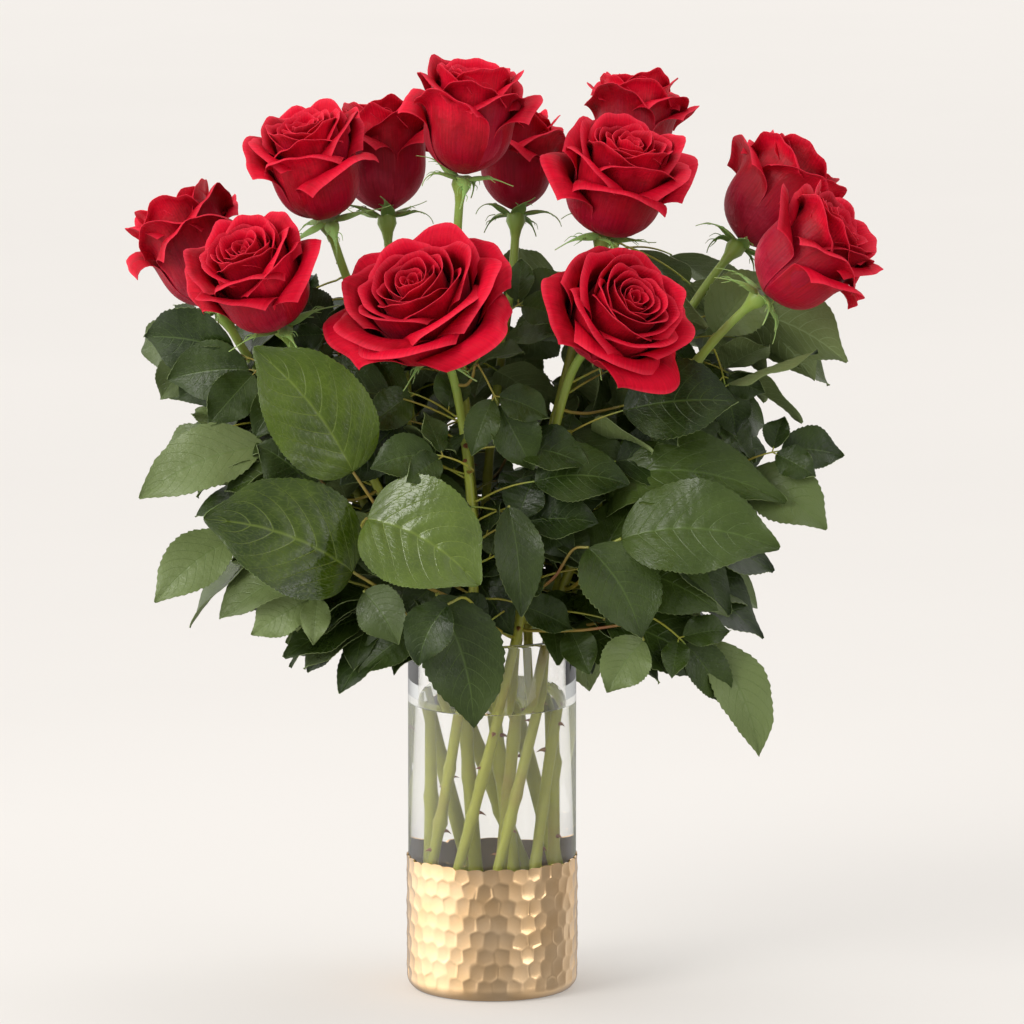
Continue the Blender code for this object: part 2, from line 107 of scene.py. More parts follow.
class Shape:  # vertices, faces, sheet coordinates, tint and slot numbers, gathered part by part

    def __init__(self):
        self.verts, self.faces, self.coords, self.tints, self.slots, self.count = [], [], [], [], [], 0

    def add(self, verts, faces, coords, tint, slots):
        verts = np.asarray(verts, float).reshape(-1, 3)
        self.verts.append(verts)
        self.faces += [tuple(int(i) + self.count for i in face) for face in faces]
        self.coords.append(np.asarray(coords, float).reshape(-1, 2))
        self.tints.append(np.broadcast_to(np.asarray(tint, float), (len(verts), 3)))
        self.slots += list(slots) if hasattr(slots, "__len__") else [slots] * len(faces)
        self.count += len(verts)

    def sheet(self, top, thickness, coords, tint, upperSlot, underSlot):  # makes a grid a thin closed sheet
        rows, cols = top.shape[:2]
        normal = np.cross(np.gradient(top, axis=1), np.gradient(top, axis=0))
        normal /= np.maximum(np.linalg.norm(normal, axis=2), 1e-12)[:, :, None]
        low = top - normal * thickness
        index = np.arange(rows * cols).reshape(rows, cols)
        corners = (index[:-1, :-1], index[:-1, 1:], index[1:, 1:], index[1:, :-1])
        upper = np.stack([c.ravel() for c in corners], axis=1)
        lower = upper[:, ::-1] + rows * cols
        loop = np.concatenate([index[0], index[1:, -1], index[-1, -2::-1], index[-2:0:-1, 0]])
        after = np.roll(loop, -1)
        rim = np.stack([after, loop, loop + rows * cols, after + rows * cols], axis=1)
        slots = [upperSlot] * len(upper) + [underSlot] * (len(lower) + len(rim))
        coords = np.asarray(coords, float).reshape(-1, 2)
        self.add(np.vstack([top.reshape(-1, 3), low.reshape(-1, 3)]), np.vstack([upper, lower, rim]),
                 np.vstack([coords, coords]), tint, slots)

    def tube(self, line, radii, sides, tint, slot, endSlot=None):
        tangents, across, over = framesAlong(np.asarray(line, float))
        angles = np.arange(sides) * math.tau / sides
        ring = np.cos(angles)[None, :, None] * across[:, None] + np.sin(angles)[None, :, None] * over[:, None]
        verts = np.asarray(line)[:, None] + ring * np.broadcast_to(radii, (len(line),))[:, None, None]
        faces = []
        for i in range(len(line) - 1):
            for k in range(sides):
                n = (k + 1) % sides
                faces.append((i * sides + k, i * sides + n, (i + 1) * sides + n, (i + 1) * sides + k))
        slots = [slot] * len(faces)
        faces.append(tuple(range(sides))[::-1])
        faces.append(tuple(range((len(line) - 1) * sides, len(line) * sides)))
        slots += [slot if endSlot is None else endSlot, slot]
        v = np.repeat(np.linspace(0, 1, len(line)), sides)
        u = np.tile(np.arange(sides) / sides, len(line))
        self.add(verts, faces, np.stack([u, v], axis=1), tint, slots)

    def piece(self, name, materials, smoothAngle=60):
        mesh = bpy.data.meshes.new(name)
        mesh.from_pydata(np.vstack(self.verts).tolist(), [], self.faces)
        mesh.polygons.foreach_set("material_index", np.array(self.slots, np.int32))
        owner = np.empty(len(mesh.loops), np.int32)
        mesh.loops.foreach_get("vertex_index", owner)
        layer = mesh.uv_layers.new(name="sheetMap")
        layer.uv.foreach_set("vector", np.vstack(self.coords)[owner].astype(np.float32).ravel())
        tints = np.vstack(self.tints)
        colour = mesh.attributes.new("tint", "FLOAT_VECTOR", "POINT")
        colour.data.foreach_set("vector", tints.astype(np.float32).ravel())
        for finish in materials:
            mesh.materials.append(finish)
        mesh.validate()
        mesh.shade_smooth()
        mesh.set_sharp_from_angle(angle=math.radians(smoothAngle))
        made = bpy.data.objects.new(name, mesh)
        bpy.context.scene.collection.objects.link(made)
        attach(made, "root")
        return made


def weldedNode(name):  # a CAD node's corners and which of them are joined by an edge
    work = bmesh.new()
    work.from_mesh(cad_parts[name].data)
    bmesh.ops.remove_doubles(work, verts=work.verts, dist=0.02 * mm)
    work.verts.index_update()
    points = np.array([v.co[:] for v in work.verts])
    links = [[e.other_vert(v).index for e in v.link_edges] for v in work.verts]
    work.free()
    return points, links


def layersFrom(links, start):  # the corners in rings, by how many edges they are from the start
    seen, ring, rings = set(start), list(start), []
    while ring:
        rings.append(ring)
        ring = sorted({n for i in ring for n in links[i]} - seen)
        seen.update(ring)
    return rings


def readStem(name):  # the line up the stem's middle, its hip's seat, its axis and its sepal tips
    points, links = weldedNode(name)
    lowest = int(points[:, 2].argmin())
    start = [i for i in range(len(points)) if np.linalg.norm(points[i] - points[lowest]) < 7 * mm]
    rings = layersFrom(links, start)
    centres = [points[r].mean(axis=0) for r in rings]
    rim = next(i for i in range(4, len(rings)) if len(rings[i + 1]) > len(rings[0]))
    axis = unit(centres[rim] - centres[rim - 1])
    inRim = set(rings[rim])
    seat = centres[rim] + axis * 1.3 * mm
    outer = [i for ring in rings[rim + 1:] for i in ring if i not in inRim]
    away = {i: np.linalg.norm(points[i] - seat) for i in outer}
    tips = [i for i in outer if all(away[i] >= away.get(n, 0) for n in links[i]) and away[i] > 15 * mm]
    return {"line": np.array(centres[:rim]), "seat": seat, "axis": axis, "tips": points[tips],
            "radius": np.linalg.norm(points[rings[0]] - centres[0], axis=1).mean()}


def readBloom(name, stem):  # how wide and how high the opened rose is
    points = weldedNode(name)[0] - stem["seat"]
    height = points @ stem["axis"]
    across = np.linalg.norm(points - np.outer(height, stem["axis"]), axis=1)
    return across.max() / 1.05, height.max()


def readLeaf(name):  # a leaf's sections from its petiole to its tip: middle, across, half width and up
    points, links = weldedNode(name)

    def farthest(start):
        return layersFrom(links, [start])[-1][0]

    ends = [farthest(0)]
    ends.append(farthest(ends[0]))
    close = [[i for i in range(len(points)) if np.linalg.norm(points[i] - points[e]) < 2.7 * mm] for e in ends]
    start = max(close, key=len)
    rings = layersFrom(links, start)
    sections = []
    for ring in rings:
        ringPoints = points[ring]
        gaps = np.linalg.norm(ringPoints[:, None] - ringPoints[None], axis=2)
        a, b = np.unravel_index(gaps.argmax(), gaps.shape)
        edges = (ringPoints[a] + ringPoints[b]) / 2
        sections.append([ringPoints.mean(axis=0), ringPoints[b] - ringPoints[a], edges])
    line = np.array([s[0] for s in sections])
    half = np.array([np.linalg.norm(s[1]) / 2 for s in sections])
    blade = next(i for i in range(len(half)) if half[i] > 3 * mm) - 1
    widest = blade + int(half[blade:].argmax())
    across = unit(sections[widest][1])
    tangent = unit(line[min(widest + 1, len(line) - 1)] - line[widest - 1])
    up = unit(np.cross(across, tangent))
    nearest = min(rings[widest], key=lambda i: np.linalg.norm(points[i] - line[widest]))
    rise = sections[widest][2] - points[nearest]
    if up.dot(rise) < 0:
        up, across = -up, -across
    return {"line": line, "blade": blade, "half": half[widest], "up": up, "name": name}


nodeNames = sorted(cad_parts)
stems = {n[-2:]: readStem(n) for n in nodeNames if n.startswith("rose_stem")}
print("stems read:", len(stems), "rings", {len(s["line"]) for s in stems.values()},
      "sepals", {len(s["tips"]) for s in stems.values()})
leaves = [readLeaf(n) for n in nodeNames if "leaf" in n]
print("leaves read:", len(leaves), "sections", sorted({len(s["line"]) for s in leaves}))


def addNode(tree, kind, values=None, **settings):
    node = tree.nodes.new(kind)
    for key, value in settings.items():
        setattr(node, key, value)
    for key, value in (values or {}).items():
        if isinstance(value, bpy.types.NodeSocket):
            tree.links.new(value, node.inputs[key])
        else:
            node.inputs[key].default_value = value
    return node


def mathNode(tree, operation, a, b=0.0, clamp=False):
    return addNode(tree, "ShaderNodeMath", {0: a, 1: b}, operation=operation, use_clamp=clamp).outputs[0]


def rampNode(tree, value, stops):  # stops: (place, colour)
    node = addNode(tree, "ShaderNodeValToRGB", {"Fac": value})
    ramp = node.color_ramp
    while len(ramp.elements) < len(stops):
        ramp.elements.new(0.5)
    for element, (place, colour) in zip(ramp.elements, stops):
        element.position = place
        element.color = (*colour, 1)
    return node.outputs["Color"]


def mixColour(tree, share, a, b, blend="MIX"):
    node = addNode(tree, "ShaderNodeMix", data_type="RGBA", blend_type=blend)
    for socket, value in ((node.inputs[0], share), (node.inputs[6], a), (node.inputs[7], b)):
        if isinstance(value, bpy.types.NodeSocket):
            tree.links.new(value, socket)
        else:
            socket.default_value = (*value, 1) if isinstance(value, tuple) and len(value) == 3 else value
    return node.outputs[2]


def newGroup(name, inputs, outputs):
    group = bpy.data.node_groups.new(name, "ShaderNodeTree")
    for label, kind, value in inputs:
        socket = group.interface.new_socket(name=label, in_out="INPUT", socket_type=kind)
        if value is not None:
            socket.default_value = value
    for label, kind in outputs:
        group.interface.new_socket(name=label, in_out="OUTPUT", socket_type=kind)
    return group, group.nodes.new("NodeGroupInput").outputs, group.nodes.new("NodeGroupOutput").inputs


def placeGroup(tree, group, values):
    return addNode(tree, "ShaderNodeGroup", values, node_tree=group).outputs


def makeVeinGroup():  # midrib, side veins and fine net of a leaf, from its sheet coordinates
    group, given, made = newGroup(
        "leafVeins",
        [("Sheet", "NodeSocketVector", None), ("Side Veins", "NodeSocketFloat", 8.0),
         ("Slope", "NodeSocketFloat", 0.3), ("Vein Width", "NodeSocketFloat", 0.1)],
        [("Mask", "NodeSocketFloat"), ("Height", "NodeSocketFloat")])
    parts = addNode(group, "ShaderNodeSeparateXYZ", {0: given["Sheet"]}).outputs
    out = mathNode(group, "ABSOLUTE", parts["X"])
    curved = mathNode(group, "POWER", out, 1.3)
    place = mathNode(group, "SUBTRACT", parts["Y"], mathNode(group, "MULTIPLY", curved, given["Slope"]))
    phase = mathNode(group, "FRACT", mathNode(group, "MULTIPLY", place, given["Side Veins"]))
    gap = mathNode(group, "ABSOLUTE", mathNode(group, "SUBTRACT", phase, 0.5))
    gap = mathNode(group, "MULTIPLY", gap, 2.0)
    thin = mathNode(group, "MULTIPLY", given["Vein Width"], mathNode(group, "SUBTRACT", 1.25, out))
    side = mathNode(group, "SUBTRACT", 1.0,
                    mathNode(group, "DIVIDE", mathNode(group, "SUBTRACT", 1.0, gap), thin), clamp=True)
    rib = mathNode(group, "SUBTRACT", 1.0, mathNode(group, "DIVIDE", out, 0.045), clamp=True)
    net = addNode(group, "ShaderNodeTexVoronoi", {"Vector": given["Sheet"], "Scale": 16.0},
                  feature="DISTANCE_TO_EDGE")
    cell = mathNode(group, "MULTIPLY", net.outputs["Distance"], 4.0)
    fine = mathNode(group, "SUBTRACT", 0.32, cell, clamp=True)
    mask = mathNode(group, "MAXIMUM", mathNode(group, "MAXIMUM", side, rib), fine)
    group.links.new(mask, made["Mask"])
    dip = mathNode(group, "SUBTRACT", 1.0, mathNode(group, "MULTIPLY", mask, 0.8))
    group.links.new(dip, made["Height"])
    return group


def makeMottleGroup():  # soft blotches that vary a colour over a piece
    group, given, made = newGroup(
        "mottle",
        [("Place", "NodeSocketVector", None), ("Scale", "NodeSocketFloat", 60.0),
         ("Low", "NodeSocketFloat", 0.0), ("High", "NodeSocketFloat", 1.0)],
        [("Value", "NodeSocketFloat")])
    noise = addNode(group, "ShaderNodeTexNoise", {"Vector": given["Place"], "Scale": given["Scale"],
                                                  "Detail": 3.0, "Roughness": 0.55})
    spread = addNode(group, "ShaderNodeMapRange", {"Value": noise.outputs["Fac"], "From Min": 0.3,
                                                   "From Max": 0.7, "To Min": given["Low"],
                                                   "To Max": given["High"]})
    group.links.new(spread.outputs["Result"], made["Value"])
    return group


def newMaterial(name):
    finish = bpy.data.materials.new(name)
    finish.use_nodes = True
    tree = finish.node_tree
    return finish, tree, tree.nodes["Principled BSDF"]


def setShader(shader, **values):
    for key, value in values.items():
        shader.inputs[key.replace("_", " ")].default_value = value


def sheetParts(tree):  # sheet coordinates as a vector, its u and v, and the piece's tint
    sheet = addNode(tree, "ShaderNodeUVMap", uv_map="sheetMap").outputs["UV"]
    parts = addNode(tree, "ShaderNodeSeparateXYZ", {0: sheet}).outputs
    tint = addNode(tree, "ShaderNodeAttribute", attribute_name="tint").outputs["Vector"]
    tones = addNode(tree, "ShaderNodeSeparateXYZ", {0: tint}).outputs
    return sheet, parts["X"], parts["Y"], tones


def bumpInto(tree, shader, height, distance, strength=1.0):
    bump = addNode(tree, "ShaderNodeBump", {"Height": height, "Distance": distance, "Strength": strength})
    tree.links.new(bump.outputs["Normal"], shader.inputs["Normal"])


veins = makeVeinGroup()
mottle = makeMottleGroup()


# petal colours: deep is painted shade at a petal's base, deep in the bloom; bright is painted light towards
# its tip
petalFinish = {
    "deep": (0.085, 0.0004, 0.003), "main": (0.32, 0.0010, 0.009), "bright": (0.58, 0.003, 0.022),
    "rim": (0.76, 0.04, 0.075), "back": (0.30, 0.0022, 0.019), "backPale": (0.44, 0.020, 0.050),
}


def makePetalFinish(name, back):
    finish, tree, shader = newMaterial(name)
    sheet, u, v, tones = sheetParts(tree)
    place = addNode(tree, "ShaderNodeTexCoord").outputs["Object"]
    blotch = placeGroup(tree, mottle, {"Place": place, "Scale": 70.0, "Low": -0.16, "High": 0.16})["Value"]
    # lift runs from a petal's base to its tip, with random tone: on the face the ramp paints shade at the
    # base, and on both sides it paints light towards the tip
    lift = mathNode(tree, "ADD", mathNode(tree, "ADD", v, blotch),
                    mathNode(tree, "MULTIPLY", tones["X"], 0.25))
    if back:
        stops = [(0.0, petalFinish["backPale"]), (0.3, petalFinish["back"]), (0.75, petalFinish["main"]),
                 (1.0, petalFinish["bright"])]
    else:
        stops = [(0.2, petalFinish["deep"]), (0.66, petalFinish["main"]), (1.0, petalFinish["bright"])]
    colour = rampNode(tree, lift, stops)
    edge = mathNode(tree, "MAXIMUM", mathNode(tree, "MULTIPLY", mathNode(tree, "ABSOLUTE", u), 0.985), v)
    rim = addNode(tree, "ShaderNodeMapRange", {"Value": edge, "From Min": 0.95, "From Max": 1.0,
                                               "To Min": 0.0, "To Max": 0.55})
    colour = mixColour(tree, rim.outputs["Result"], colour, petalFinish["rim"])
    lines = addNode(tree, "ShaderNodeMapping", {"Vector": sheet, "Scale": (26.0, 3.2, 1.0)})
    streaks = addNode(tree, "ShaderNodeTexNoise", {"Vector": lines.outputs["Vector"], "Scale": 1.0,
                                                   "Detail": 3.0, "Distortion": 0.4})
    streak = addNode(tree, "ShaderNodeMapRange", {"Value": streaks.outputs["Fac"], "From Min": 0.35,
                                                  "From Max": 0.65, "To Min": 0.82, "To Max": 1.1})
    shade = addNode(tree, "ShaderNodeCombineXYZ", {0: streak.outputs[0], 1: streak.outputs[0],
                                                   2: streak.outputs[0]})
    colour = mixColour(tree, 1.0 if back else 0.7, colour, shade.outputs[0], "MULTIPLY")
    tree.links.new(colour, shader.inputs["Base Color"])
    velvet = addNode(tree, "ShaderNodeTexNoise", {"Vector": place, "Scale": 1600.0, "Detail": 1.0})
    crumple = addNode(tree, "ShaderNodeTexNoise", {"Vector": place, "Scale": 190.0, "Detail": 3.0,
                                                   "Distortion": 0.8})
    height = mathNode(tree, "ADD", mathNode(tree, "MULTIPLY", velvet.outputs["Fac"], 0.2),
                      mathNode(tree, "MULTIPLY", crumple.outputs["Fac"], 2.2 if back else 1.0))
    height = mathNode(tree, "ADD", height, streaks.outputs["Fac"])
    bumpInto(tree, shader, height, 0.4 * mm, 0.6)
    rough = mathNode(tree, "ADD", mathNode(tree, "MULTIPLY", blotch, 0.3), 0.46 if back else 0.58)
    tree.links.new(rough, shader.inputs["Roughness"])
    setShader(shader, Specular_IOR_Level=0.16 if back else 0.07, Sheen_Weight=0.10 if back else 0.02,
              Sheen_Roughness=0.4, Sheen_Tint=(1.0, 0.2, 0.25, 1), Subsurface_Weight=0.06,
              Subsurface_Radius=(1.0, 0.08, 0.06), Subsurface_Scale=1.5 * mm)
    return finish


petalFace = makePetalFinish("petalFace", False)
petalBack = makePetalFinish("petalBack", True)

roseShape = {
    "rows": 22, "cols": 21, "thickness": 0.32 * mm, "golden": math.radians(137.5),
    "plainRadius": 37 * mm, "plainHeight": 55 * mm,
}
whorls = (  # heart first; pairs run from first petal to last; opened is the lean that a wide bloom adds
    {"count": 7, "belly": (1.5, 6.4), "length": (0.80, 0.89), "width": (17, 32), "lean": (-1, 0),
     "opened": (0, 0), "close": (0, -2), "curl": (8, 34), "start": (0.88, 0.86), "wrap": (2.8, 2.3),
     "point": (0, 0), "ruffle": (0.1, 0.4), "edge": (0, 0.3), "foot": (0.36, 0.4)},
    {"count": 11, "belly": (7.4, 16), "length": (0.91, 0.98), "width": (38, 50), "lean": (0, 3),
     "opened": (0, 4), "close": (-2, -4), "curl": (40, 80), "start": (0.87, 0.83), "wrap": (2.2, 1.5),
     "point": (0, 0.01), "ruffle": (0.4, 0.8), "edge": (0.3, 0.9), "foot": (0.42, 0.48)},
    {"count": 8, "belly": (16.3, 21), "length": (1.02, 1.0), "width": (50, 56), "lean": (3, 5),
     "opened": (5, 20), "close": (-6, -5), "curl": (85, 120), "start": (0.83, 0.73), "wrap": (1.4, 1.15),
     "point": (0.02, 0.05), "ruffle": (0.6, 1.0), "edge": (1.2, 2.0), "foot": (0.50, 0.54)},
    {"count": 5, "belly": (22, 25), "length": (0.98, 0.93), "width": (58, 60), "lean": (4, 6),
     "opened": (20, 30), "close": (-4, -2), "curl": (120, 155), "start": (0.74, 0.62), "wrap": (1.2, 1.1),
     "point": (0.03, 0.06), "ruffle": (0.9, 1.6), "edge": (2.0, 3.0), "foot": (0.54, 0.58)},
)


def petalSheet(p):  # one petal in the bloom's own frame, its axis up Z
    rows, cols = roseShape["rows"], roseShape["cols"]
    v = np.linspace(0, 1, rows)[:, None]
    u = np.linspace(-1, 1, cols)[None, :]
    foot = p["foot"]
    nicks = 0.014 * np.sin(6.5 * u + p["phase"]) + 0.009 * np.sin(12 * u + 2 * p["phase"])
    length = p["length"] * (1 - p["round"] * np.abs(u)**2.7 + p["point"] * np.exp(-(u / 0.3)**2) + nicks)
    flare = min((p["belly"] - p["start"]) / (p["length"] * foot * 0.5), 1.5)
    rise = flare * np.cos(np.pi / 2 * np.clip(v / foot, 0, 1))**1.6
    lean = p["lean"] * smoothStep(v, foot * 0.5, foot * 1.3)
    lean = lean + p["close"] * smoothStep(v, foot * 0.9, foot * 1.5)
    late = np.clip((v - p["from"]) / (1 - p["from"]), 0, 1)
    heading = rise + lean + (p["curl"] * (0.7 + 0.3 * np.abs(u)**1.5) + p["twist"] * u) * late**1.2
    step = length / (rows - 1)
    out = np.vstack([np.zeros((1, cols)), np.cumsum(np.sin(heading)[:-1] * step, axis=0)])
    up = np.vstack([np.zeros((1, cols)), np.cumsum(np.cos(heading)[:-1] * step, axis=0)])
    ruffle = p["ruffle"] * np.sin(u * p["waves"] + p["phase"]) * smoothStep(v, 0.45, 1.0)
    ruffle = ruffle + 0.35 * p["ruffle"] * np.sin(9 * u + 3 * p["phase"]) * smoothStep(v, 0.82, 1.0)
    edgeRoll = p["edgeRoll"] * np.abs(u)**7 * smoothStep(v, 0.35, 0.75)
    radius = p["start"] + out + ruffle + edgeRoll + p["skew"] * u * smoothStep(v, 0.1, 0.5)
    radius = np.maximum(radius, 0.4 * mm)
    middle = np.maximum(radius[:, cols // 2][:, None], 1.2 * mm)
    width = p["width"] * (0.25 + 0.75 * np.sin(np.pi / 2 * np.clip(v / 0.6, 0, 1))**0.9)
    width = width * (1 - p["narrow"] * smoothStep(v, 0.72, 1.0))
    angle = p["turn"] + u * np.minimum(width / 2 / middle, p["wrap"])
    height = p["rise"] + up + 0.35 * ruffle
    points = np.stack([radius * np.cos(angle), radius * np.sin(angle), height], axis=2)
    coords = np.stack([np.broadcast_to(u, (rows, cols)), np.broadcast_to(v, (rows, cols))], axis=2)
    return points, coords


def petalSet(rng, radius, height, openness):
    scale = min(radius / roseShape["plainRadius"], height / roseShape["plainHeight"])
    tall = height * (1 - 0.05 * openness)
    petals = []

    def addWhorl(count, **ranges):
        for k in range(count):
            share = k / max(count - 1, 1)
            value = {name: pair[0] + (pair[1] - pair[0]) * share for name, pair in ranges.items()}
            belly = value["belly"] * mm * scale
            petals.append({
                "belly": belly, "foot": value["foot"],
                "length": value["length"] * tall * rng.uniform(0.97, 1.03),
                "width": value["width"] * mm * scale * rng.uniform(0.94, 1.06),
                "lean": math.radians(value["lean"]) * rng.uniform(0.8, 1.2),
                "close": math.radians(value["close"]),
                "curl": math.radians(value["curl"]) * rng.uniform(0.75, 1.25),
                "from": value["start"] + rng.uniform(-0.02, 0.02),
                "wrap": value["wrap"], "point": value["point"],
                "start": min(3.2 * mm, belly * 0.6), "rise": 0.6 * mm, "narrow": rng.uniform(0.06, 0.13),
                "round": rng.uniform(0.14, 0.21), "skew": rng.uniform(0.25, 0.55) * mm,
                "edgeRoll": value["edge"] * mm, "ruffle": value["ruffle"] * mm * rng.uniform(0.5, 1.4),
                "waves": rng.uniform(2.0, 3.8), "phase": rng.uniform(0, math.tau),
                "twist": rng.uniform(-0.2, 0.2),
                "turn": len(petals) * roseShape["golden"] + rng.uniform(-0.22, 0.22),
            })

    for whorl in whorls:
        ranges = {name: value for name, value in whorl.items() if name != "opened"}
        first, last = whorl["opened"]
        ranges["lean"] = (whorl["lean"][0] + first * openness, whorl["lean"][1] + last * openness)
        addWhorl(**ranges)
    return petals


def buildBloom(key, seed):
    stem = stems[key]
    radius, height = readBloom("rose_bloom_" + key, stem)
    openness = float(np.clip((radius / height - 0.56) / 0.4, 0, 1))
    rng = random.Random(seed)
    petals = petalSet(rng, radius, height, openness)
    sheets = [petalSheet(p) for p in petals]
    every = np.vstack([s[0].reshape(-1, 3) for s in sheets])
    reach = np.percentile(np.linalg.norm(every[:, :2], axis=1), 99.5)
    tall = np.percentile(every[:, 2], 99.8)
    fit = np.array([radius * 1.03 / reach, radius * 1.03 / reach, height / tall])
    axis = stem["axis"]
    side = unit(np.cross([0, 1, 0.1], axis))
    side = turnAbout(side, axis, rng.uniform(0, math.tau))
    other = np.cross(axis, side)
    shape = Shape()
    for order, (points, coords) in enumerate(sheets):
        local = points * fit
        world = stem["seat"] + local[..., :1] * side + local[..., 1:2] * other + local[..., 2:] * axis
        tint = (rng.uniform(-1, 1), order / len(sheets), 0)
        shape.sheet(world, roseShape["thickness"], coords, tint, 0, 1)
    made = shape.piece("roseBloom" + key, [petalBack, petalFace], 80)
    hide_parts("rose_bloom_" + key)


for key in sorted(stems):
    buildBloom(key, 100 + int(key))
print("blooms built:", len(stems))


def makeStemFinish():
    finish, tree, shader = newMaterial("stemSkin")
    sheet, _, v, tones = sheetParts(tree)
    place = addNode(tree, "ShaderNodeTexCoord").outputs["Object"]
    blotch = placeGroup(tree, mottle, {"Place": place, "Scale": 28.0, "Low": -0.35, "High": 0.35})["Value"]
    base = rampNode(tree, mathNode(tree, "ADD", v, mathNode(tree, "MULTIPLY", blotch, 0.25)),
                    [(0.0, (0.31, 0.32, 0.03)), (0.45, (0.29, 0.29, 0.03)), (0.8, (0.29, 0.34, 0.04)),
                     (1.0, (0.24, 0.37, 0.07))])
    redness = mathNode(tree, "MULTIPLY", mathNode(tree, "ADD", blotch, tones["X"]), 1.2, clamp=True)
    colour = mixColour(tree, redness, base, (0.20, 0.065, 0.02))
    tree.links.new(colour, shader.inputs["Base Color"])
    lines = addNode(tree, "ShaderNodeMapping", {"Vector": sheet, "Scale": (10.0, 40.0, 1.0)})
    ridges = addNode(tree, "ShaderNodeTexNoise", {"Vector": lines.outputs["Vector"], "Scale": 1.0,
                                                  "Detail": 4.0})
    bumpInto(tree, shader, ridges.outputs["Fac"], 0.3 * mm, 0.6)
    rough = mathNode(tree, "ADD", mathNode(tree, "MULTIPLY", blotch, 0.2), 0.42)
    tree.links.new(rough, shader.inputs["Roughness"])
    setShader(shader, Specular_IOR_Level=0.45)
    return finish


def makeSepalFinish():
    finish, tree, shader = newMaterial("sepalGreen")
    sheet, _, v, _ = sheetParts(tree)
    pattern = placeGroup(tree, veins, {"Sheet": sheet, "Side Veins": 9.0, "Slope": 0.5, "Vein Width": 0.2})
    base = rampNode(tree, v, [(0.0, (0.20, 0.33, 0.08)), (0.6, (0.24, 0.42, 0.10)),
                              (1.0, (0.32, 0.46, 0.14))])
    colour = mixColour(tree, mathNode(tree, "MULTIPLY", pattern["Mask"], 0.35), base, (0.38, 0.52, 0.22))
    tree.links.new(colour, shader.inputs["Base Color"])
    bumpInto(tree, shader, pattern["Height"], 0.15 * mm, 0.6)
    setShader(shader, Roughness=0.5, Subsurface_Weight=0.1, Subsurface_Scale=1 * mm)
    return finish


stemSkin = makeStemFinish()
sepalGreen = makeSepalFinish()

stemShape = {
    "rings": 90, "sides": 18, "hipRadius": 5.9 * mm, "thornCount": 7, "thornLength": 4.2 * mm,
    "sepalWidth": 7.0 * mm, "sepalReach": 1.1, "nodeSwell": 0.22,
}


def addSepal(shape, stem, tip, rng):
    axis, seat = stem["axis"], stem["seat"]
    out = tip - seat
    out = unit(out - axis * out.dot(axis))
    along = np.cross(axis, out)
    reach = np.linalg.norm(tip - seat) * stemShape["sepalReach"] * rng.uniform(0.85, 1.1)
    rows, cols = 30, 7
    v = np.linspace(0, 1, rows)
    heading = math.radians(rng.uniform(-40, 10)) + rng.uniform(0.5, 1.6) * v + rng.uniform(-1.2, 1.2) * v**3
    line = [seat + out * stemShape["hipRadius"] * 0.8 - axis * 1.4 * mm]
    sway = rng.uniform(-0.7, 0.7)
    for h, share in zip(heading[:-1], v[:-1]):
        step = out * math.cos(h) - axis * math.sin(h) + along * sway * share
        line.append(line[-1] + unit(step) * reach / (rows - 1))
    line = np.array(line)
    half = stemShape["sepalWidth"] / 2 * (0.8 + 0.3 * np.sin(np.pi * np.clip(v * 2, 0, 1)))
    half = half * (1 - smoothStep(v, 0.1, 0.75))
    half = half + 0.45 * mm * (1 - v) + 0.18 * mm
    tangents = np.gradient(line, axis=0)
    tangents /= np.linalg.norm(tangents, axis=1)[:, None]
    up = np.cross(tangents, along)
    u = np.linspace(-1, 1, cols)
    cup = (np.abs(u)**1.6)[None] * half[:, None] * 0.5
    points = line[:, None] + along * (half[:, None] * u[None])[..., None] - up[:, None] * cup[..., None]
    coords = np.stack([np.broadcast_to(u, (rows, cols)), np.broadcast_to(v[:, None], (rows, cols))], axis=2)
    shape.sheet(points, 0.35 * mm, coords, (0, 0, 0), 1, 1)
    for sign in (-1, 1):
        for _ in range(rng.choice((1, 2, 2))):
            i = rng.randint(int(rows * 0.3), int(rows * 0.62))
            size = rng.uniform(3.5, 8) * mm
            root = line[i] + along * sign * half[i] * 0.7
            bend = unit(along * sign * 0.7 + tangents[i] * 0.9)
            tipOff = unit(bend + tangents[i] - axis * 0.5) * size
            hair = smoothLine([root, root + bend * size * 0.5, root + tipOff], 8)
            shape.tube(hair, np.linspace(0.34, 0.13, 8) * mm, 6, (0, 0, 0), 1)


def addThorn(shape, base, out, along, size, tint):
    line = [base - out * 0.6 * mm, base + out * size * 0.45 - along * size * 0.05,
            base + out * size * 0.95 - along * size * 0.4]
    shape.tube(smoothLine(line, 6), np.array([0.42, 0.33, 0.23, 0.14, 0.07, 0.02]) * size, 8, tint, 0)


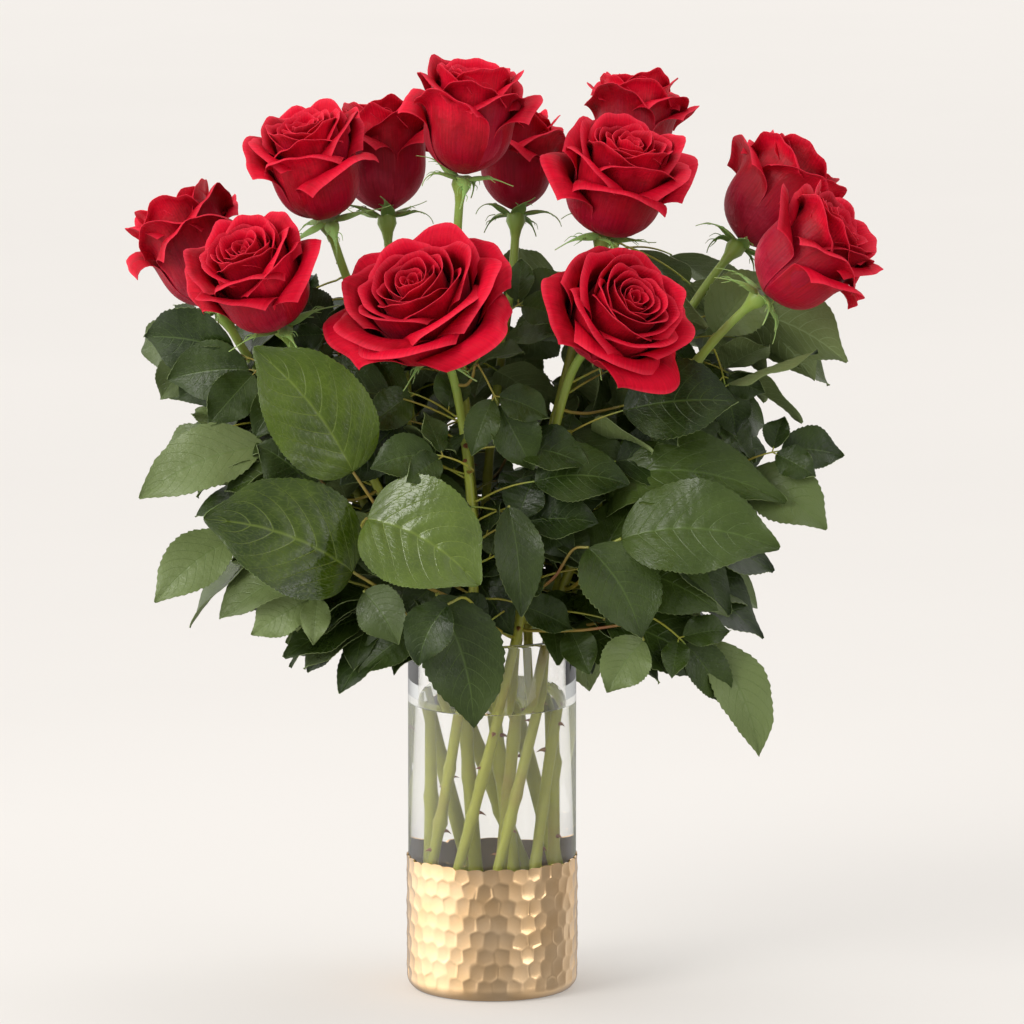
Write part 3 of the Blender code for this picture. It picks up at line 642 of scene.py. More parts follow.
def buildStem(key, seed):
    stem = stems[key]
    rng = random.Random(seed)
    hipStart = stem["seat"] - stem["axis"] * 14 * mm
    free = [p for p in stem["line"]
            if (p - hipStart).dot(stem["axis"]) < -2 * mm or p[2] < stem["seat"][2] - 25 * mm]
    line = smoothLine(free + [hipStart, stem["seat"] - stem["axis"] * 1.6 * mm], stemShape["rings"])
    away = np.linalg.norm(line - stem["seat"], axis=1)
    share = np.linspace(0, 1, len(line))
    radii = stem["radius"] * (1.06 - 0.16 * share)
    nodes = sorted(rng.uniform(0.08, 0.9) for _ in range(6))
    for place in nodes:
        radii = radii * (1 + stemShape["nodeSwell"] * np.exp(-((share - place) / 0.009)**2))
    hip = smoothStep(-away, -15 * mm, -5.5 * mm) * (1 - 0.22 * smoothStep(-away, -4.5 * mm, -1 * mm))
    radii = radii + (stemShape["hipRadius"] - radii) * hip
    shape = Shape()
    red = rng.uniform(-0.35, 0.15)
    shape.tube(line, radii, stemShape["sides"], (red, 0, 0), 0)
    tangents, across, over = framesAlong(line)
    for _ in range(stemShape["thornCount"]):
        i = int(rng.uniform(0.06, 0.9) * len(line))
        if away[i] < 24 * mm:
            continue
        angle = rng.uniform(0, math.tau)
        out = across[i] * math.cos(angle) + over[i] * math.sin(angle)
        size = stemShape["thornLength"] * rng.uniform(0.6, 1.1)
        addThorn(shape, line[i] + out * radii[i] * 0.9, out, tangents[i], size, (0.9, 0, 0))
    for tip in stem["tips"]:
        addSepal(shape, stem, tip, rng)
    made = shape.piece("roseStem" + key, [stemSkin, sepalGreen], 50)
    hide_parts("rose_stem_" + key)


for key in sorted(stems):
    buildStem(key, 300 + int(key))
print("stems built:", len(stems))


# paleTop: a pale grey-green mixed over some leaves, partly their own colour and partly painted sheen
leafFinish = {
    "broadTop": ((0.018, 0.036, 0.001), (0.080, 0.130, 0.003)), "broadUnder": (0.16, 0.24, 0.06),
    "roseTop": ((0.009, 0.020, 0.002), (0.040, 0.068, 0.008)), "roseUnder": (0.16, 0.21, 0.07),
    "paleTop": (0.21, 0.27, 0.10),
}


def makeLeafTop(name, colours, veinColour, sideVeins, slope, gloss, shine):
    finish, tree, shader = newMaterial(name)
    sheet, _, _, tones = sheetParts(tree)
    place = addNode(tree, "ShaderNodeTexCoord").outputs["Object"]
    blotch = placeGroup(tree, mottle, {"Place": place, "Scale": 45.0, "Low": -0.3, "High": 0.3})["Value"]
    pattern = placeGroup(tree, veins, {"Sheet": sheet, "Side Veins": sideVeins, "Slope": slope,
                                       "Vein Width": 0.10})
    tone = mathNode(tree, "ADD", mathNode(tree, "MULTIPLY", tones["X"], 0.5),
                    mathNode(tree, "ADD", blotch, 0.5))
    base = rampNode(tree, tone, [(0.0, colours[0]), (1.0, colours[1])])
    # tint Y mixes in the pale grey-green: partly the leaf's own colour, partly painted sheen
    paleAndSheen = mixColour(tree, tones["Y"], base, leafFinish["paleTop"])
    colour = mixColour(tree, mathNode(tree, "MULTIPLY", pattern["Mask"], 0.45), paleAndSheen, veinColour)
    tree.links.new(colour, shader.inputs["Base Color"])
    grain = addNode(tree, "ShaderNodeTexNoise", {"Vector": place, "Scale": 900.0, "Detail": 2.0})
    wrinkle = addNode(tree, "ShaderNodeTexNoise", {"Vector": place, "Scale": 240.0, "Detail": 2.0,
                                                   "Distortion": 1.2})
    fine = mathNode(tree, "MULTIPLY", grain.outputs["Fac"], 0.25)
    height = mathNode(tree, "ADD", mathNode(tree, "ADD", pattern["Height"], fine), wrinkle.outputs["Fac"])
    bumpInto(tree, shader, height, 0.24 * mm, 0.8)
    rough = mathNode(tree, "ADD", mathNode(tree, "MULTIPLY", blotch, 0.25), gloss)
    tree.links.new(rough, shader.inputs["Roughness"])
    setShader(shader, Specular_IOR_Level=shine)
    return finish


def makeLeafUnder(name, colour, veinColour, sideVeins, slope):
    finish, tree, shader = newMaterial(name)
    sheet = sheetParts(tree)[0]
    place = addNode(tree, "ShaderNodeTexCoord").outputs["Object"]
    blotch = placeGroup(tree, mottle, {"Place": place, "Scale": 40.0, "Low": 0.0, "High": 0.5})["Value"]
    pattern = placeGroup(tree, veins, {"Sheet": sheet, "Side Veins": sideVeins, "Slope": slope,
                                       "Vein Width": 0.14})
    darker = tuple(c * 0.72 for c in colour)
    base = mixColour(tree, blotch, colour, darker)
    shaded = mixColour(tree, mathNode(tree, "MULTIPLY", pattern["Mask"], 0.5), base, veinColour)
    tree.links.new(shaded, shader.inputs["Base Color"])
    bumpInto(tree, shader, mathNode(tree, "SUBTRACT", 1.0, pattern["Height"]), 0.3 * mm, 0.8)
    setShader(shader, Roughness=0.55, Specular_IOR_Level=0.35)
    return finish


broadTop = makeLeafTop("broadLeafTop", leafFinish["broadTop"], (0.19, 0.26, 0.04), 7.0, 0.42, 0.20, 0.48)
broadUnder = makeLeafUnder("broadLeafUnder", leafFinish["broadUnder"], (0.36, 0.46, 0.20), 7.0, 0.42)
roseTop = makeLeafTop("roseLeafTop", leafFinish["roseTop"], (0.10, 0.16, 0.035), 9.0, 0.30, 0.32, 0.3)
roseUnder = makeLeafUnder("roseLeafUnder", leafFinish["roseUnder"], (0.32, 0.42, 0.20), 9.0, 0.30)

leafShape = {
    "broad": {
        "rows": 84, "cols": 21, "peak": 0.74, "full": 0.62, "sharp": 0.45, "teeth": 30, "toothSize": 0.034,
        "veins": 7, "slope": 0.42, "quilt": 1.35 * mm, "rib": 0.7 * mm, "wave": 1.6 * mm, "cup": 0.16},
    "rose": {
        "rows": 60, "cols": 11, "peak": 0.84, "full": 0.84, "sharp": 0.30, "teeth": 17, "toothSize": 0.075,
        "veins": 9, "slope": 0.30, "quilt": 0.5 * mm, "rib": 0.5 * mm, "wave": 1.5 * mm, "cup": 0.26},
    "large": {
        "rows": 90, "cols": 17, "peak": 0.80, "full": 0.74, "sharp": 0.45, "teeth": 26, "toothSize": 0.045,
        "veins": 9, "slope": 0.34, "quilt": 1.0 * mm, "rib": 0.7 * mm, "wave": 2.2 * mm, "cup": 0.18},
    "thickness": 0.32 * mm, "rachisPoints": 14,
}


def leafletSheet(kind, line, across, half, rng, detail=1.0):  # line: points along the midrib
    s = leafShape[kind]
    rows, cols = int(s["rows"] * detail), s["cols"] if detail > 0.7 else s["cols"] - 4
    line = smoothLine(line, rows)
    v = np.linspace(0, 1, rows)
    u = np.linspace(-1, 1, cols)
    along = np.gradient(line, axis=0)
    along /= np.linalg.norm(along, axis=1)[:, None]
    side = np.broadcast_to(across, line.shape) if np.ndim(across) == 1 else across
    side = side - along * (side * along).sum(axis=1)[:, None]
    side = side / np.linalg.norm(side, axis=1)[:, None]
    up = np.cross(side, along)
    width = np.sin(np.pi * np.clip(v, 0, 1)**s["peak"])**s["full"]
    width = width * (1 - s["sharp"] * smoothStep(v, 0.72, 1.0)) + 0.012
    teeth = s["teeth"]
    saw = ((v * teeth) % 1.0)
    tooth = s["toothSize"] * (saw**0.8 - 0.35) * smoothStep(v, 0.06, 0.2) * (1 - smoothStep(v, 0.94, 1.0))
    jag = (tooth * (0.4 + 0.6 * width))[:, None] * smoothStep(np.abs(u), 0.72, 1.0)[None]
    reach = half * (width[:, None] * np.abs(u)[None] + jag)
    phase = (v[:, None] - s["slope"] * np.abs(u[None])**1.3) * s["veins"]
    bulge = s["quilt"] * np.abs(np.sin(np.pi * phase))**0.8 * (1 - np.abs(u[None])**3) * width[:, None]
    rib = -s["rib"] * np.exp(-(np.abs(u[None]) * half * width[:, None] / (1.1 * mm))**2)
    cup = s["cup"] * half * width[:, None] * np.abs(u[None])**1.3 * rng.uniform(0.5, 1.4)
    wave = s["wave"] * np.sin(v[:, None] * rng.uniform(9, 15) + rng.uniform(0, 6) + 1.3 * np.sign(u[None]))
    wave = wave * np.abs(u[None])**3
    lift = bulge + rib + cup + wave * smoothStep(v, 0.05, 0.3)[:, None]
    spread = side[:, None] * (np.sign(u)[None] * reach)[..., None]
    points = line[:, None] + spread + up[:, None] * lift[..., None]
    coords = np.stack([np.broadcast_to(u, (rows, cols)), np.broadcast_to(v[:, None], (rows, cols))], axis=2)
    return points, coords


def archedLine(base, heading, up, length, arch, droop, count=7):
    t = np.linspace(0, 1, count)[:, None]
    return base + heading * length * t + up * (arch * 4 * t * (1 - t)) - np.array([0, 0, 1]) * droop * t**2


def addLeaflet(shape, kind, line, across, half, rng, tint, detail=1.0):
    points, coords = leafletSheet(kind, line, across, half, rng, detail)
    shape.sheet(points, leafShape["thickness"], coords, tint, 0, 1)


def planCompound(base, heading, up, length, half, rng, pairs):  # the rachis, and each leaflet's place and size
    across = unit(np.cross(heading, up))
    last = leafShape["rachisPoints"] - 1
    rachis = smoothLine(archedLine(base, heading, up, length * 0.40, 2 * mm, length * 0.03), last + 1)
    ahead = unit(rachis[-1] - rachis[-3])
    ahead = unit(ahead + across * rng.uniform(-0.15, 0.15) + up * rng.uniform(-0.2, 0.05))
    size = length * 0.64
    plans = [(rachis[-1], ahead, unit(up - ahead * up.dot(ahead)), size, min(half * 0.8, size * 0.35), last)]
    for spot in ((0.80,), (0.15, 0.88))[pairs - 1]:
        for sign in (-1, 1):
            angle = math.radians(rng.uniform(46, 66))
            normal = unit(up + across * sign * rng.uniform(-0.35, 0.3) + heading * rng.uniform(-0.25, 0.25))
            direction = heading * math.cos(angle) + across * sign * math.sin(angle)
            direction = unit(direction - normal * direction.dot(normal))
            reach = min(half * rng.uniform(0.92, 1.08) / math.sin(angle), length * 0.54)
            reach = reach * (0.86 + 0.14 * spot)
            joint = int(spot * last)
            plans.append((rachis[joint], direction, normal, reach, reach * rng.uniform(0.31, 0.38), joint))
    return rachis, plans


def addCompound(shape, rachis, plans, rng, tint, detail=1.0):
    end = leafShape["rachisPoints"] - 1
    last = max(plan[5] for plan in plans)
    shape.tube(rachis[:last + 1], np.linspace(0.65, 0.45, last + 1) * mm, 8, (0.15, 0, 0), 2)
    for root, direction, normal, reach, half, spot in plans:
        start = root + direction * (0 if spot == end else 2.4 * mm)
        if spot < end:
            stalk = smoothLine([root, (root + start) / 2, start + direction * mm], 5)
            shape.tube(stalk, np.full(5, 0.45 * mm), 6, (0.2, 0, 0), 2)
        arch = rng.uniform(0, 0.06) * reach
        line = archedLine(start, direction, normal, reach, arch, reach * rng.uniform(0.04, 0.30))
        addLeaflet(shape, "rose", line, unit(np.cross(direction, normal)), half, rng, tint, detail)


def buildLeaf(leaf, number):
    rng = random.Random(700 + number)
    name = leaf["name"]
    line, blade, up = leaf["line"], leaf["blade"], leaf["up"]
    bladeLine = line[blade:]
    heading = unit(bladeLine[-1] - bladeLine[0])
    up = unit(up - heading * up.dot(heading))
    across = unit(np.cross(heading, up))
    tone, paleAndSheen = leafTones.get(name, (rng.uniform(-1, 1), 0))
    tint = (tone, paleAndSheen, 0)
    shape = Shape()
    start = line[0] + unit(line[0] - line[1]) * 1.4 * mm
    petiole = smoothLine([start] + list(line[:blade + 1]), 22)
    thick, thin = (1.15, 0.9) if name.startswith("broad") else (1.0, 0.75)
    shape.tube(petiole, np.linspace(thick, thin, 22) * mm, 10, (0.45, 0, 0), 2)
    if name.startswith("rose_leaf_"):
        length = np.linalg.norm(bladeLine[-1] - bladeLine[0])
        rachis, plans = planCompound(bladeLine[0], heading, up, length, leaf["half"], rng, 1)
        addCompound(shape, rachis, plans, rng, tint)
        finishes = [roseTop, roseUnder, stemSkin]
    else:
        kind = "broad" if name.startswith("broad") else "rose"
        if name in toothed:
            kind = "large"
        addLeaflet(shape, kind, bladeLine, across, leaf["half"] * 1.03, rng, tint)
        finishes = [broadTop, broadUnder, stemSkin] if kind == "broad" else [roseTop, roseUnder, stemSkin]
    words = name.split("_")
    made = shape.piece(words[0] + words[1].capitalize() + words[2], finishes, 60)
    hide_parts(name)


toothed = ("broad_leaf_04", "broad_leaf_05")  # big leaves with a toothed edge
leafTones = {  # how light each of these leaves is, and its pale grey-green share: partly the leaf's own colour, partly painted sheen
    "broad_leaf_01": (0.1, 0), "broad_leaf_02": (-0.6, 0), "broad_leaf_03": (0.2, 0.14),
    "broad_leaf_04": (0.7, 0.05), "broad_leaf_05": (0.5, 0.04), "rose_leaflet_01": (-0.6, 0.05),
    "rose_leaflet_02": (0, 0.6), "rose_leaflet_03": (1, 0.6), "rose_leaflet_04": (0, 0.15),
    "rose_leaflet_05": (-0.3, 0.04), "rose_leaflet_07": (-0.4, 0.05), "rose_leaflet_08": (0, 0.05),
    "rose_leaflet_09": (1, 0.35), "rose_leaflet_10": (1, 0.6), "rose_leaflet_11": (1, 0.5),
    "rose_leaflet_12": (1, 0.6), "rose_leaf_01": (0.5, 0.4), "rose_leaf_02": (1, 0.6),
}
for number, leaf in enumerate(leaves):
    buildLeaf(leaf, number)
print("leaves built:", len(leaves))


def treeOf(name):
    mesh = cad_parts[name].data
    faces = [tuple(p.vertices) for p in mesh.polygons]
    return BVHTree.FromPolygons([v.co.copy() for v in mesh.vertices], faces)


fill = {
    "perStem": 23, "tries": 70, "length": (64, 112), "shares": ((0.02, 0.35), (0.02, 0.6), (0.2, 0.88)),
    "nearMouth": 4, "nearShare": 0.16, "nearLength": 0.75, "pairedTurns": 8, "stemPoints": 80,
    "lowest": 222 * mm, "zone": (196 * mm, 412 * mm), "frontLimit": -50 * mm, "margin": 5 * mm,
}


def leafletProxy(root, direction, normal, reach, half):  # two flat faces that stand for a leaflet
    side = np.cross(direction, normal)
    start = root + direction * 3 * mm
    corners = [start, start + direction * reach * 0.4 + side * half * 0.8, start + direction * reach,
               start + direction * reach * 0.4 - side * half * 0.8]
    return BVHTree.FromPolygons([Vector(c) for c in corners], [(0, 1, 2), (0, 2, 3)])


def tryFillLeaf(rng, line, near, solids, low, high):  # a leaf's place and those of its leaflets that clear
    share = rng.uniform(0, fill["nearShare"]) if near else rng.uniform(*rng.choice(fill["shares"]))
    place = line[int(share * (fill["stemPoints"] - 1))]
    if place[2] < fill["lowest"]:
        return None
    outward = unit(np.array([place[0], place[1], 0]) + [1e-6, 0, 0])
    direction = turnAbout(outward, [0, 0, 1], rng.uniform(-2.2, 2.2))
    rise = rng.uniform(-0.7, 0.0) if near else rng.uniform(-0.55, 0.6)
    heading = unit(direction + np.array([0, 0, rise]))
    length = rng.uniform(*fill["length"]) * mm * (fill["nearLength"] if near else 1)
    start = place + direction * 3.2 * mm
    base = start + heading * rng.uniform(1, 7) * mm
    facing = np.array([base[0] * 3 + rng.uniform(-0.08, 0.08), base[1] * 3 - 0.04, 0.12])
    up = unit(facing - heading * facing.dot(heading))
    rachis, plans = planCompound(base, heading, up, length, length * 0.42, rng, rng.choice((1, 2)))
    kept = []
    for plan in plans:
        tip = plan[0] + plan[1] * plan[3]
        inside = (tip > low).all() and (tip < high).all() and fill["zone"][0] < tip[2] < fill["zone"][1]
        if not inside or tip[1] < fill["frontLimit"]:
            continue
        proxy = leafletProxy(*plan[:5])
        if not any(proxy.overlap(s) for s in solids):
            kept.append((plan, proxy))
    return (place, start, rachis), kept


def placeFill():  # every fill leaf as its stem's key, the lines of its stalk and its leaflets' plans
    rng = random.Random(41)
    solids = [treeOf(n) for n in nodeNames if n not in ("water", "gilded_sleeve")]
    low, high = np.array(cadLow) + fill["margin"], np.array(cadHigh) - fill["margin"]
    end = leafShape["rachisPoints"] - 1
    made = []
    for turn in range(fill["perStem"]):
        near = turn >= fill["perStem"] - fill["nearMouth"]  # the last turns hang leaves low over the mouth
        least = 2 if turn < fill["pairedTurns"] else 1
        for key in sorted(stems):
            line = smoothLine(stems[key]["line"][2:], fill["stemPoints"])
            for _ in range(fill["tries"]):
                found = tryFillLeaf(rng, line, near, solids, low, high)
                if found is None or len(found[1]) < least or found[1][0][0][5] != end:
                    continue
                solids += [proxy for _, proxy in found[1]]
                made.append((key, *found[0], [plan for plan, _ in found[1]]))
                break
    return made


def buildFill():
    made = placeFill()
    for key in sorted(stems):
        shape = Shape()
        for number, (owner, place, start, rachis, plans) in enumerate(made):
            if owner != key:
                continue
            leafRng = random.Random(900 + number)
            stalk = smoothLine([place, start, rachis[0] * 0.8 + start * 0.2, rachis[0]], 12)
            shape.tube(stalk, np.linspace(0.75, 0.6, 12) * mm, 8, (0.15, 0, 0), 2)
            # random tone, leaning dark as painted shade among the inner leaves; now and then a pale grey-green
            # share, partly painted sheen
            tint = (leafRng.uniform(-1.1, 0.6), max(0, leafRng.uniform(-1.6, 0.5)), 0)
            addCompound(shape, rachis, plans, leafRng, tint, 0.6)
        piece = shape.piece("foliage" + key, [roseTop, roseUnder, stemSkin], 60)
    print("fill leaves built:", len(made))


buildFill()


def ringRadii(name, keep):  # how far the node's corners that pass the test are from the axis
    chosen = np.array([p for p in weldedNode(name)[0] if keep(p)])
    return np.hypot(chosen[:, 0], chosen[:, 1])


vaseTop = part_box("glass_vase")[1][2]
outerRadius = ringRadii("glass_vase", lambda p: True).max()
innerRadius = ringRadii("glass_vase", lambda p: p[2] > vaseTop - 2.5 * mm).min()
vaseFloor = max(p[2] for p in weldedNode("glass_vase")[0] if math.hypot(p[0], p[1]) < innerRadius - 5 * mm)
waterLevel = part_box("water")[1][2]
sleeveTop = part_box("gilded_sleeve")[1][2]
sleeveRadius = ringRadii("gilded_sleeve", lambda p: True).max()
vaseShape = {"sides": 128, "foot": 8 * mm, "bowl": 6 * mm, "overlap": 0.05 * mm, "smoothAngle": 40}


def arcPoints(middle, radius, start, end, steps):
    angles = np.radians(np.linspace(start, end, steps))
    return [(middle[0] + radius * math.cos(a), middle[1] + radius * math.sin(a)) for a in angles]


def faceOutward(mesh, weld):
    work = bmesh.new()
    work.from_mesh(mesh)
    if weld:
        bmesh.ops.remove_doubles(work, verts=work.verts, dist=0.001 * mm)
    bmesh.ops.recalc_face_normals(work, faces=work.faces)
    work.to_mesh(mesh)
    work.free()


def turnedPiece(name, profile, finish):
    sides = vaseShape["sides"]
    shape = Shape()
    profile = np.array(profile)
    angles = np.arange(sides) * math.tau / sides
    verts = [(r * math.cos(a), r * math.sin(a), z) for r, z in profile for a in angles]
    faces = []
    count = len(profile)
    for i in range(count - 1):
        for k in range(sides):
            n = (k + 1) % sides
            faces.append((i * sides + k, i * sides + n, (i + 1) * sides + n, (i + 1) * sides + k))
    coords = [(k / sides, i / count) for i in range(count) for k in range(sides)]
    shape.add(verts, faces, coords, (0, 0, 0), 0)
    made = shape.piece(name, [finish], vaseShape["smoothAngle"])
    faceOutward(made.data, True)
    return made


def makeClearFinish(name, ior, tintColour, shadowShare):
    finish, tree, shader = newMaterial(name)
    place = addNode(tree, "ShaderNodeTexCoord").outputs["Object"]
    ripple = placeGroup(tree, mottle, {"Place": place, "Scale": 14.0, "Low": 0.0, "High": 1.0})["Value"]
    bumpInto(tree, shader, ripple, 0.05 * mm, 0.25)
    setShader(shader, Base_Color=(*tintColour, 1), Roughness=0.0, IOR=ior, Transmission_Weight=1.0)
    clear = addNode(tree, "ShaderNodeBsdfTransparent", {"Color": (*shadowShare, 1)})
    path = addNode(tree, "ShaderNodeLightPath")
    deep = mathNode(tree, "GREATER_THAN", path.outputs["Ray Depth"], 6.5)  # lets light out of the wall
    through = mathNode(tree, "MAXIMUM", path.outputs["Is Shadow Ray"], deep)
    mix = addNode(tree, "ShaderNodeMixShader", {0: through, 1: shader.outputs[0], 2: clear.outputs[0]})
    tree.links.new(mix.outputs[0], tree.nodes["Material Output"].inputs["Surface"])
    return finish


def makeGoldFinish():
    finish, tree, shader = newMaterial("hammeredGilt")
    place = addNode(tree, "ShaderNodeTexCoord").outputs["Object"]
    blotch = placeGroup(tree, mottle, {"Place": place, "Scale": 40.0, "Low": 0.0, "High": 1.0})["Value"]
    fine = addNode(tree, "ShaderNodeTexNoise", {"Vector": place, "Scale": 700.0, "Detail": 3.0})
    colour = rampNode(tree, blotch, [(0.0, (0.83, 0.54, 0.28)), (1.0, (0.89, 0.63, 0.38))])
    tree.links.new(colour, shader.inputs["Base Color"])
    rough = mathNode(tree, "ADD", mathNode(tree, "MULTIPLY", fine.outputs["Fac"], 0.08), 0.18)
    tree.links.new(rough, shader.inputs["Roughness"])
    bumpInto(tree, shader, fine.outputs["Fac"], 0.02 * mm, 0.3)
    setShader(shader, Metallic=1.0)
    return finish


def makeInnerGiltFinish():
    finish, tree, shader = newMaterial("giltBacking")
    place = addNode(tree, "ShaderNodeTexCoord").outputs["Object"]
    blotch = placeGroup(tree, mottle, {"Place": place, "Scale": 60.0, "Low": 0.0, "High": 1.0})["Value"]
    colour = rampNode(tree, blotch, [(0.0, (0.095, 0.060, 0.038)), (1.0, (0.17, 0.11, 0.07))])
    tree.links.new(colour, shader.inputs["Base Color"])
    setShader(shader, Roughness=0.5)
    return finish


clearGlass = makeClearFinish("clearGlass", 1.46, (0.995, 0.998, 0.996), (0.96, 0.97, 0.965))
stillWater = makeClearFinish("stillWater", 1.33, (0.995, 0.998, 0.99), (0.96, 0.97, 0.96))
hammeredGilt = makeGoldFinish()
giltBacking = makeInnerGiltFinish()


def buildVase():
    foot, bowl, lip = vaseShape["foot"], vaseShape["bowl"], (outerRadius - innerRadius) / 2
    profile = [(0, 0.0)] + arcPoints((outerRadius - foot, foot), foot, -90, 0, 9)
    profile += arcPoints((outerRadius - lip, vaseTop - lip), lip, 0, 180, 9)
    profile += arcPoints((innerRadius - bowl, vaseFloor + bowl), bowl, 0, -90, 7) + [(0, vaseFloor)]
    made = turnedPiece("glassVase", profile, clearGlass)
    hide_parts("glass_vase")


def buildWater():
    radius = innerRadius + vaseShape["overlap"]
    bowl, rise = vaseShape["bowl"], 0.9 * mm
    meniscus = [(radius - 1.9 * mm * t, waterLevel + rise * (1 - t)**2.2) for t in np.linspace(1, 0, 7)]
    profile = [(0, waterLevel)] + meniscus
    bottom = vaseFloor - vaseShape["overlap"]
    profile += arcPoints((radius - bowl, bottom + bowl), bowl, 0, -90, 7) + [(0, bottom)]
    made = turnedPiece("stillWater", profile, stillWater)
    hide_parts("water")


gilding = {
    "cells": 36, "rowStep": 9.6 * mm, "jitter": 0.14, "dent": 0.016, "deepest": 0.46 * mm, "tilt": 0.03,
    "ridge": 1.5 * mm, "topGap": 4.2 * mm, "rise": 2.0 * mm, "scallop": 2.0 * mm, "colsPerCell": 14,
    "heightStep": 0.7 * mm, "plainFoot": 3 * mm, "footFade": 9 * mm, "thickness": 1 * mm,
    "clearance": 0.06 * mm,
}


def cellCentres(rng, pitch):  # where each hammer blow fell on the unrolled sleeve, and how it leans
    centres, tilts = [], []
    for row in range(int(sleeveTop / gilding["rowStep"]) + 2):
        for cell in range(gilding["cells"]):
            x = (cell + 0.5 * (row % 2)) * pitch + rng.normal(0, gilding["jitter"]) * pitch * 0.6
            z = sleeveTop - gilding["topGap"] - row * gilding["rowStep"]
            z = z + rng.normal(0, gilding["jitter"]) * gilding["rowStep"] * 0.5
            centres.append((x, z))
            tilts.append(rng.normal(0, gilding["tilt"], 2))
    return np.array(centres), np.array(tilts)


def hammered(place, centres, tilts, girth, pitch):  # how deep the dent is at each place on the unrolled sleeve
    dent = np.zeros(len(place))
    batch = 4000
    for start in range(0, len(place), batch):
        part = place[start:start + batch]
        dx = ((part[:, None, 0] - centres[None, :, 0] + girth / 2) % girth) - girth / 2
        dz = (part[:, None, 1] - centres[None, :, 1]) * pitch / gilding["rowStep"] * 1.06
        away = np.hypot(dx, dz)
        two = np.argpartition(away, 1, axis=1)[:, :2]
        gaps = np.take_along_axis(away, two, axis=1)
        nearest = np.where(gaps[:, 0] > gaps[:, 1], two[:, 1], two[:, 0])
        first, second = gaps.min(axis=1), gaps.max(axis=1)
        each = np.arange(len(part))
        slope = tilts[nearest, 0] * dx[each, nearest] + tilts[nearest, 1] * dz[each, nearest]
        slope = slope * smoothStep(second - first, 0.0, gilding["ridge"])
        bowl = gilding["dent"] * (first / mm)**2 * mm
        dent[start:start + batch] = bowl - gilding["deepest"] + slope
    return dent


def buildSleeve():
    girth = math.tau * sleeveRadius
    pitch = girth / gilding["cells"]
    centres, tilts = cellCentres(np.random.default_rng(7), pitch)
    cols = gilding["cells"] * gilding["colsPerCell"]
    angles = np.arange(cols) * math.tau / cols
    along = angles * sleeveRadius
    topRow = centres[:gilding["cells"]]
    gap = np.abs(((along[:, None] - topRow[None, :, 0] + girth / 2) % girth) - girth / 2)
    arch = np.sqrt(np.clip(1 - (gap.min(axis=1) / (pitch * 0.58))**2, 0, 1))
    top = topRow[gap.argmin(axis=1), 1] + gilding["rise"] + gilding["scallop"] * arch

    def ring(r, z):
        return np.stack([r * np.cos(angles), r * np.sin(angles), np.broadcast_to(z, (cols,))], axis=1)

    foot = vaseShape["foot"]
    middle, outward = outerRadius - foot, foot + gilding["thickness"]
    footAngles = np.radians(np.linspace(-58, 0, 14))
    shares = np.linspace(0, 1, int((sleeveTop - outward) / gilding["heightStep"]))[1:]
    radius = [np.full(cols, middle + math.cos(a) * outward) for a in footAngles]
    radius = np.array(radius + [np.full(cols, middle + outward)] * len(shares))
    height = [np.full(cols, foot + math.sin(a) * outward) for a in footAngles]
    height = np.array(height + [foot + share * (top - foot) for share in shares])
    place = np.stack([np.broadcast_to(along, height.shape).ravel(), height.ravel()], axis=1)
    dent = hammered(place, centres, tilts, girth, pitch).reshape(height.shape)
    radius = radius + dent * smoothStep(height, gilding["plainFoot"], gilding["footFade"])
    front = np.stack([radius * np.cos(angles), radius * np.sin(angles), height], axis=2)
    back = gilding["clearance"]  # from the glass to the sleeve's inner face
    reach = foot + back
    rings = [ring(middle + math.cos(a) * reach, foot + math.sin(a) * reach) for a in footAngles[1::3]]
    rings += [ring(outerRadius + back, foot + share * (top - foot)) for share in (0.25, 0.5, 0.75, 1.0)]
    grid = np.concatenate([np.array(rings[::-1]), front])
    total = len(grid)
    index = np.arange(total * cols).reshape(total, cols)
    follow = np.roll(index, -1, axis=1)
    faces, marks = [], []
    for i in range(total):
        j = (i + 1) % total
        faces += np.stack([index[i], follow[i], follow[j], index[j]], axis=1).tolist()
        marks += [1 if i < len(rings) - 1 else 0] * cols
    up = np.repeat(np.linspace(0, 1, total), cols)
    coords = np.stack([np.tile(angles / math.tau, total), up], axis=1)
    shape = Shape()
    shape.add(grid.reshape(-1, 3), faces, coords, (0, 0, 0), marks)
    made = shape.piece("hammeredSleeve", [hammeredGilt, giltBacking], 50)
    faceOutward(made.data, False)
    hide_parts("gilded_sleeve")


buildVase()
buildWater()
buildSleeve()
print("vase, water and gilding built")


stage = {
    "floor": (0.50, 0.482, 0.462), "reach": 8.0, "seen": (0.90, 0.86, 0.81),
    "glow": ((0.0, 0.50), (0.12, 0.52), (0.3, 0.76), (0.7, 0.88)),
    "lens": 300.5, "sensor": 36, "tilt": 9.5, "aim": (0.0117, 0, 0.283), "away": 5,
}


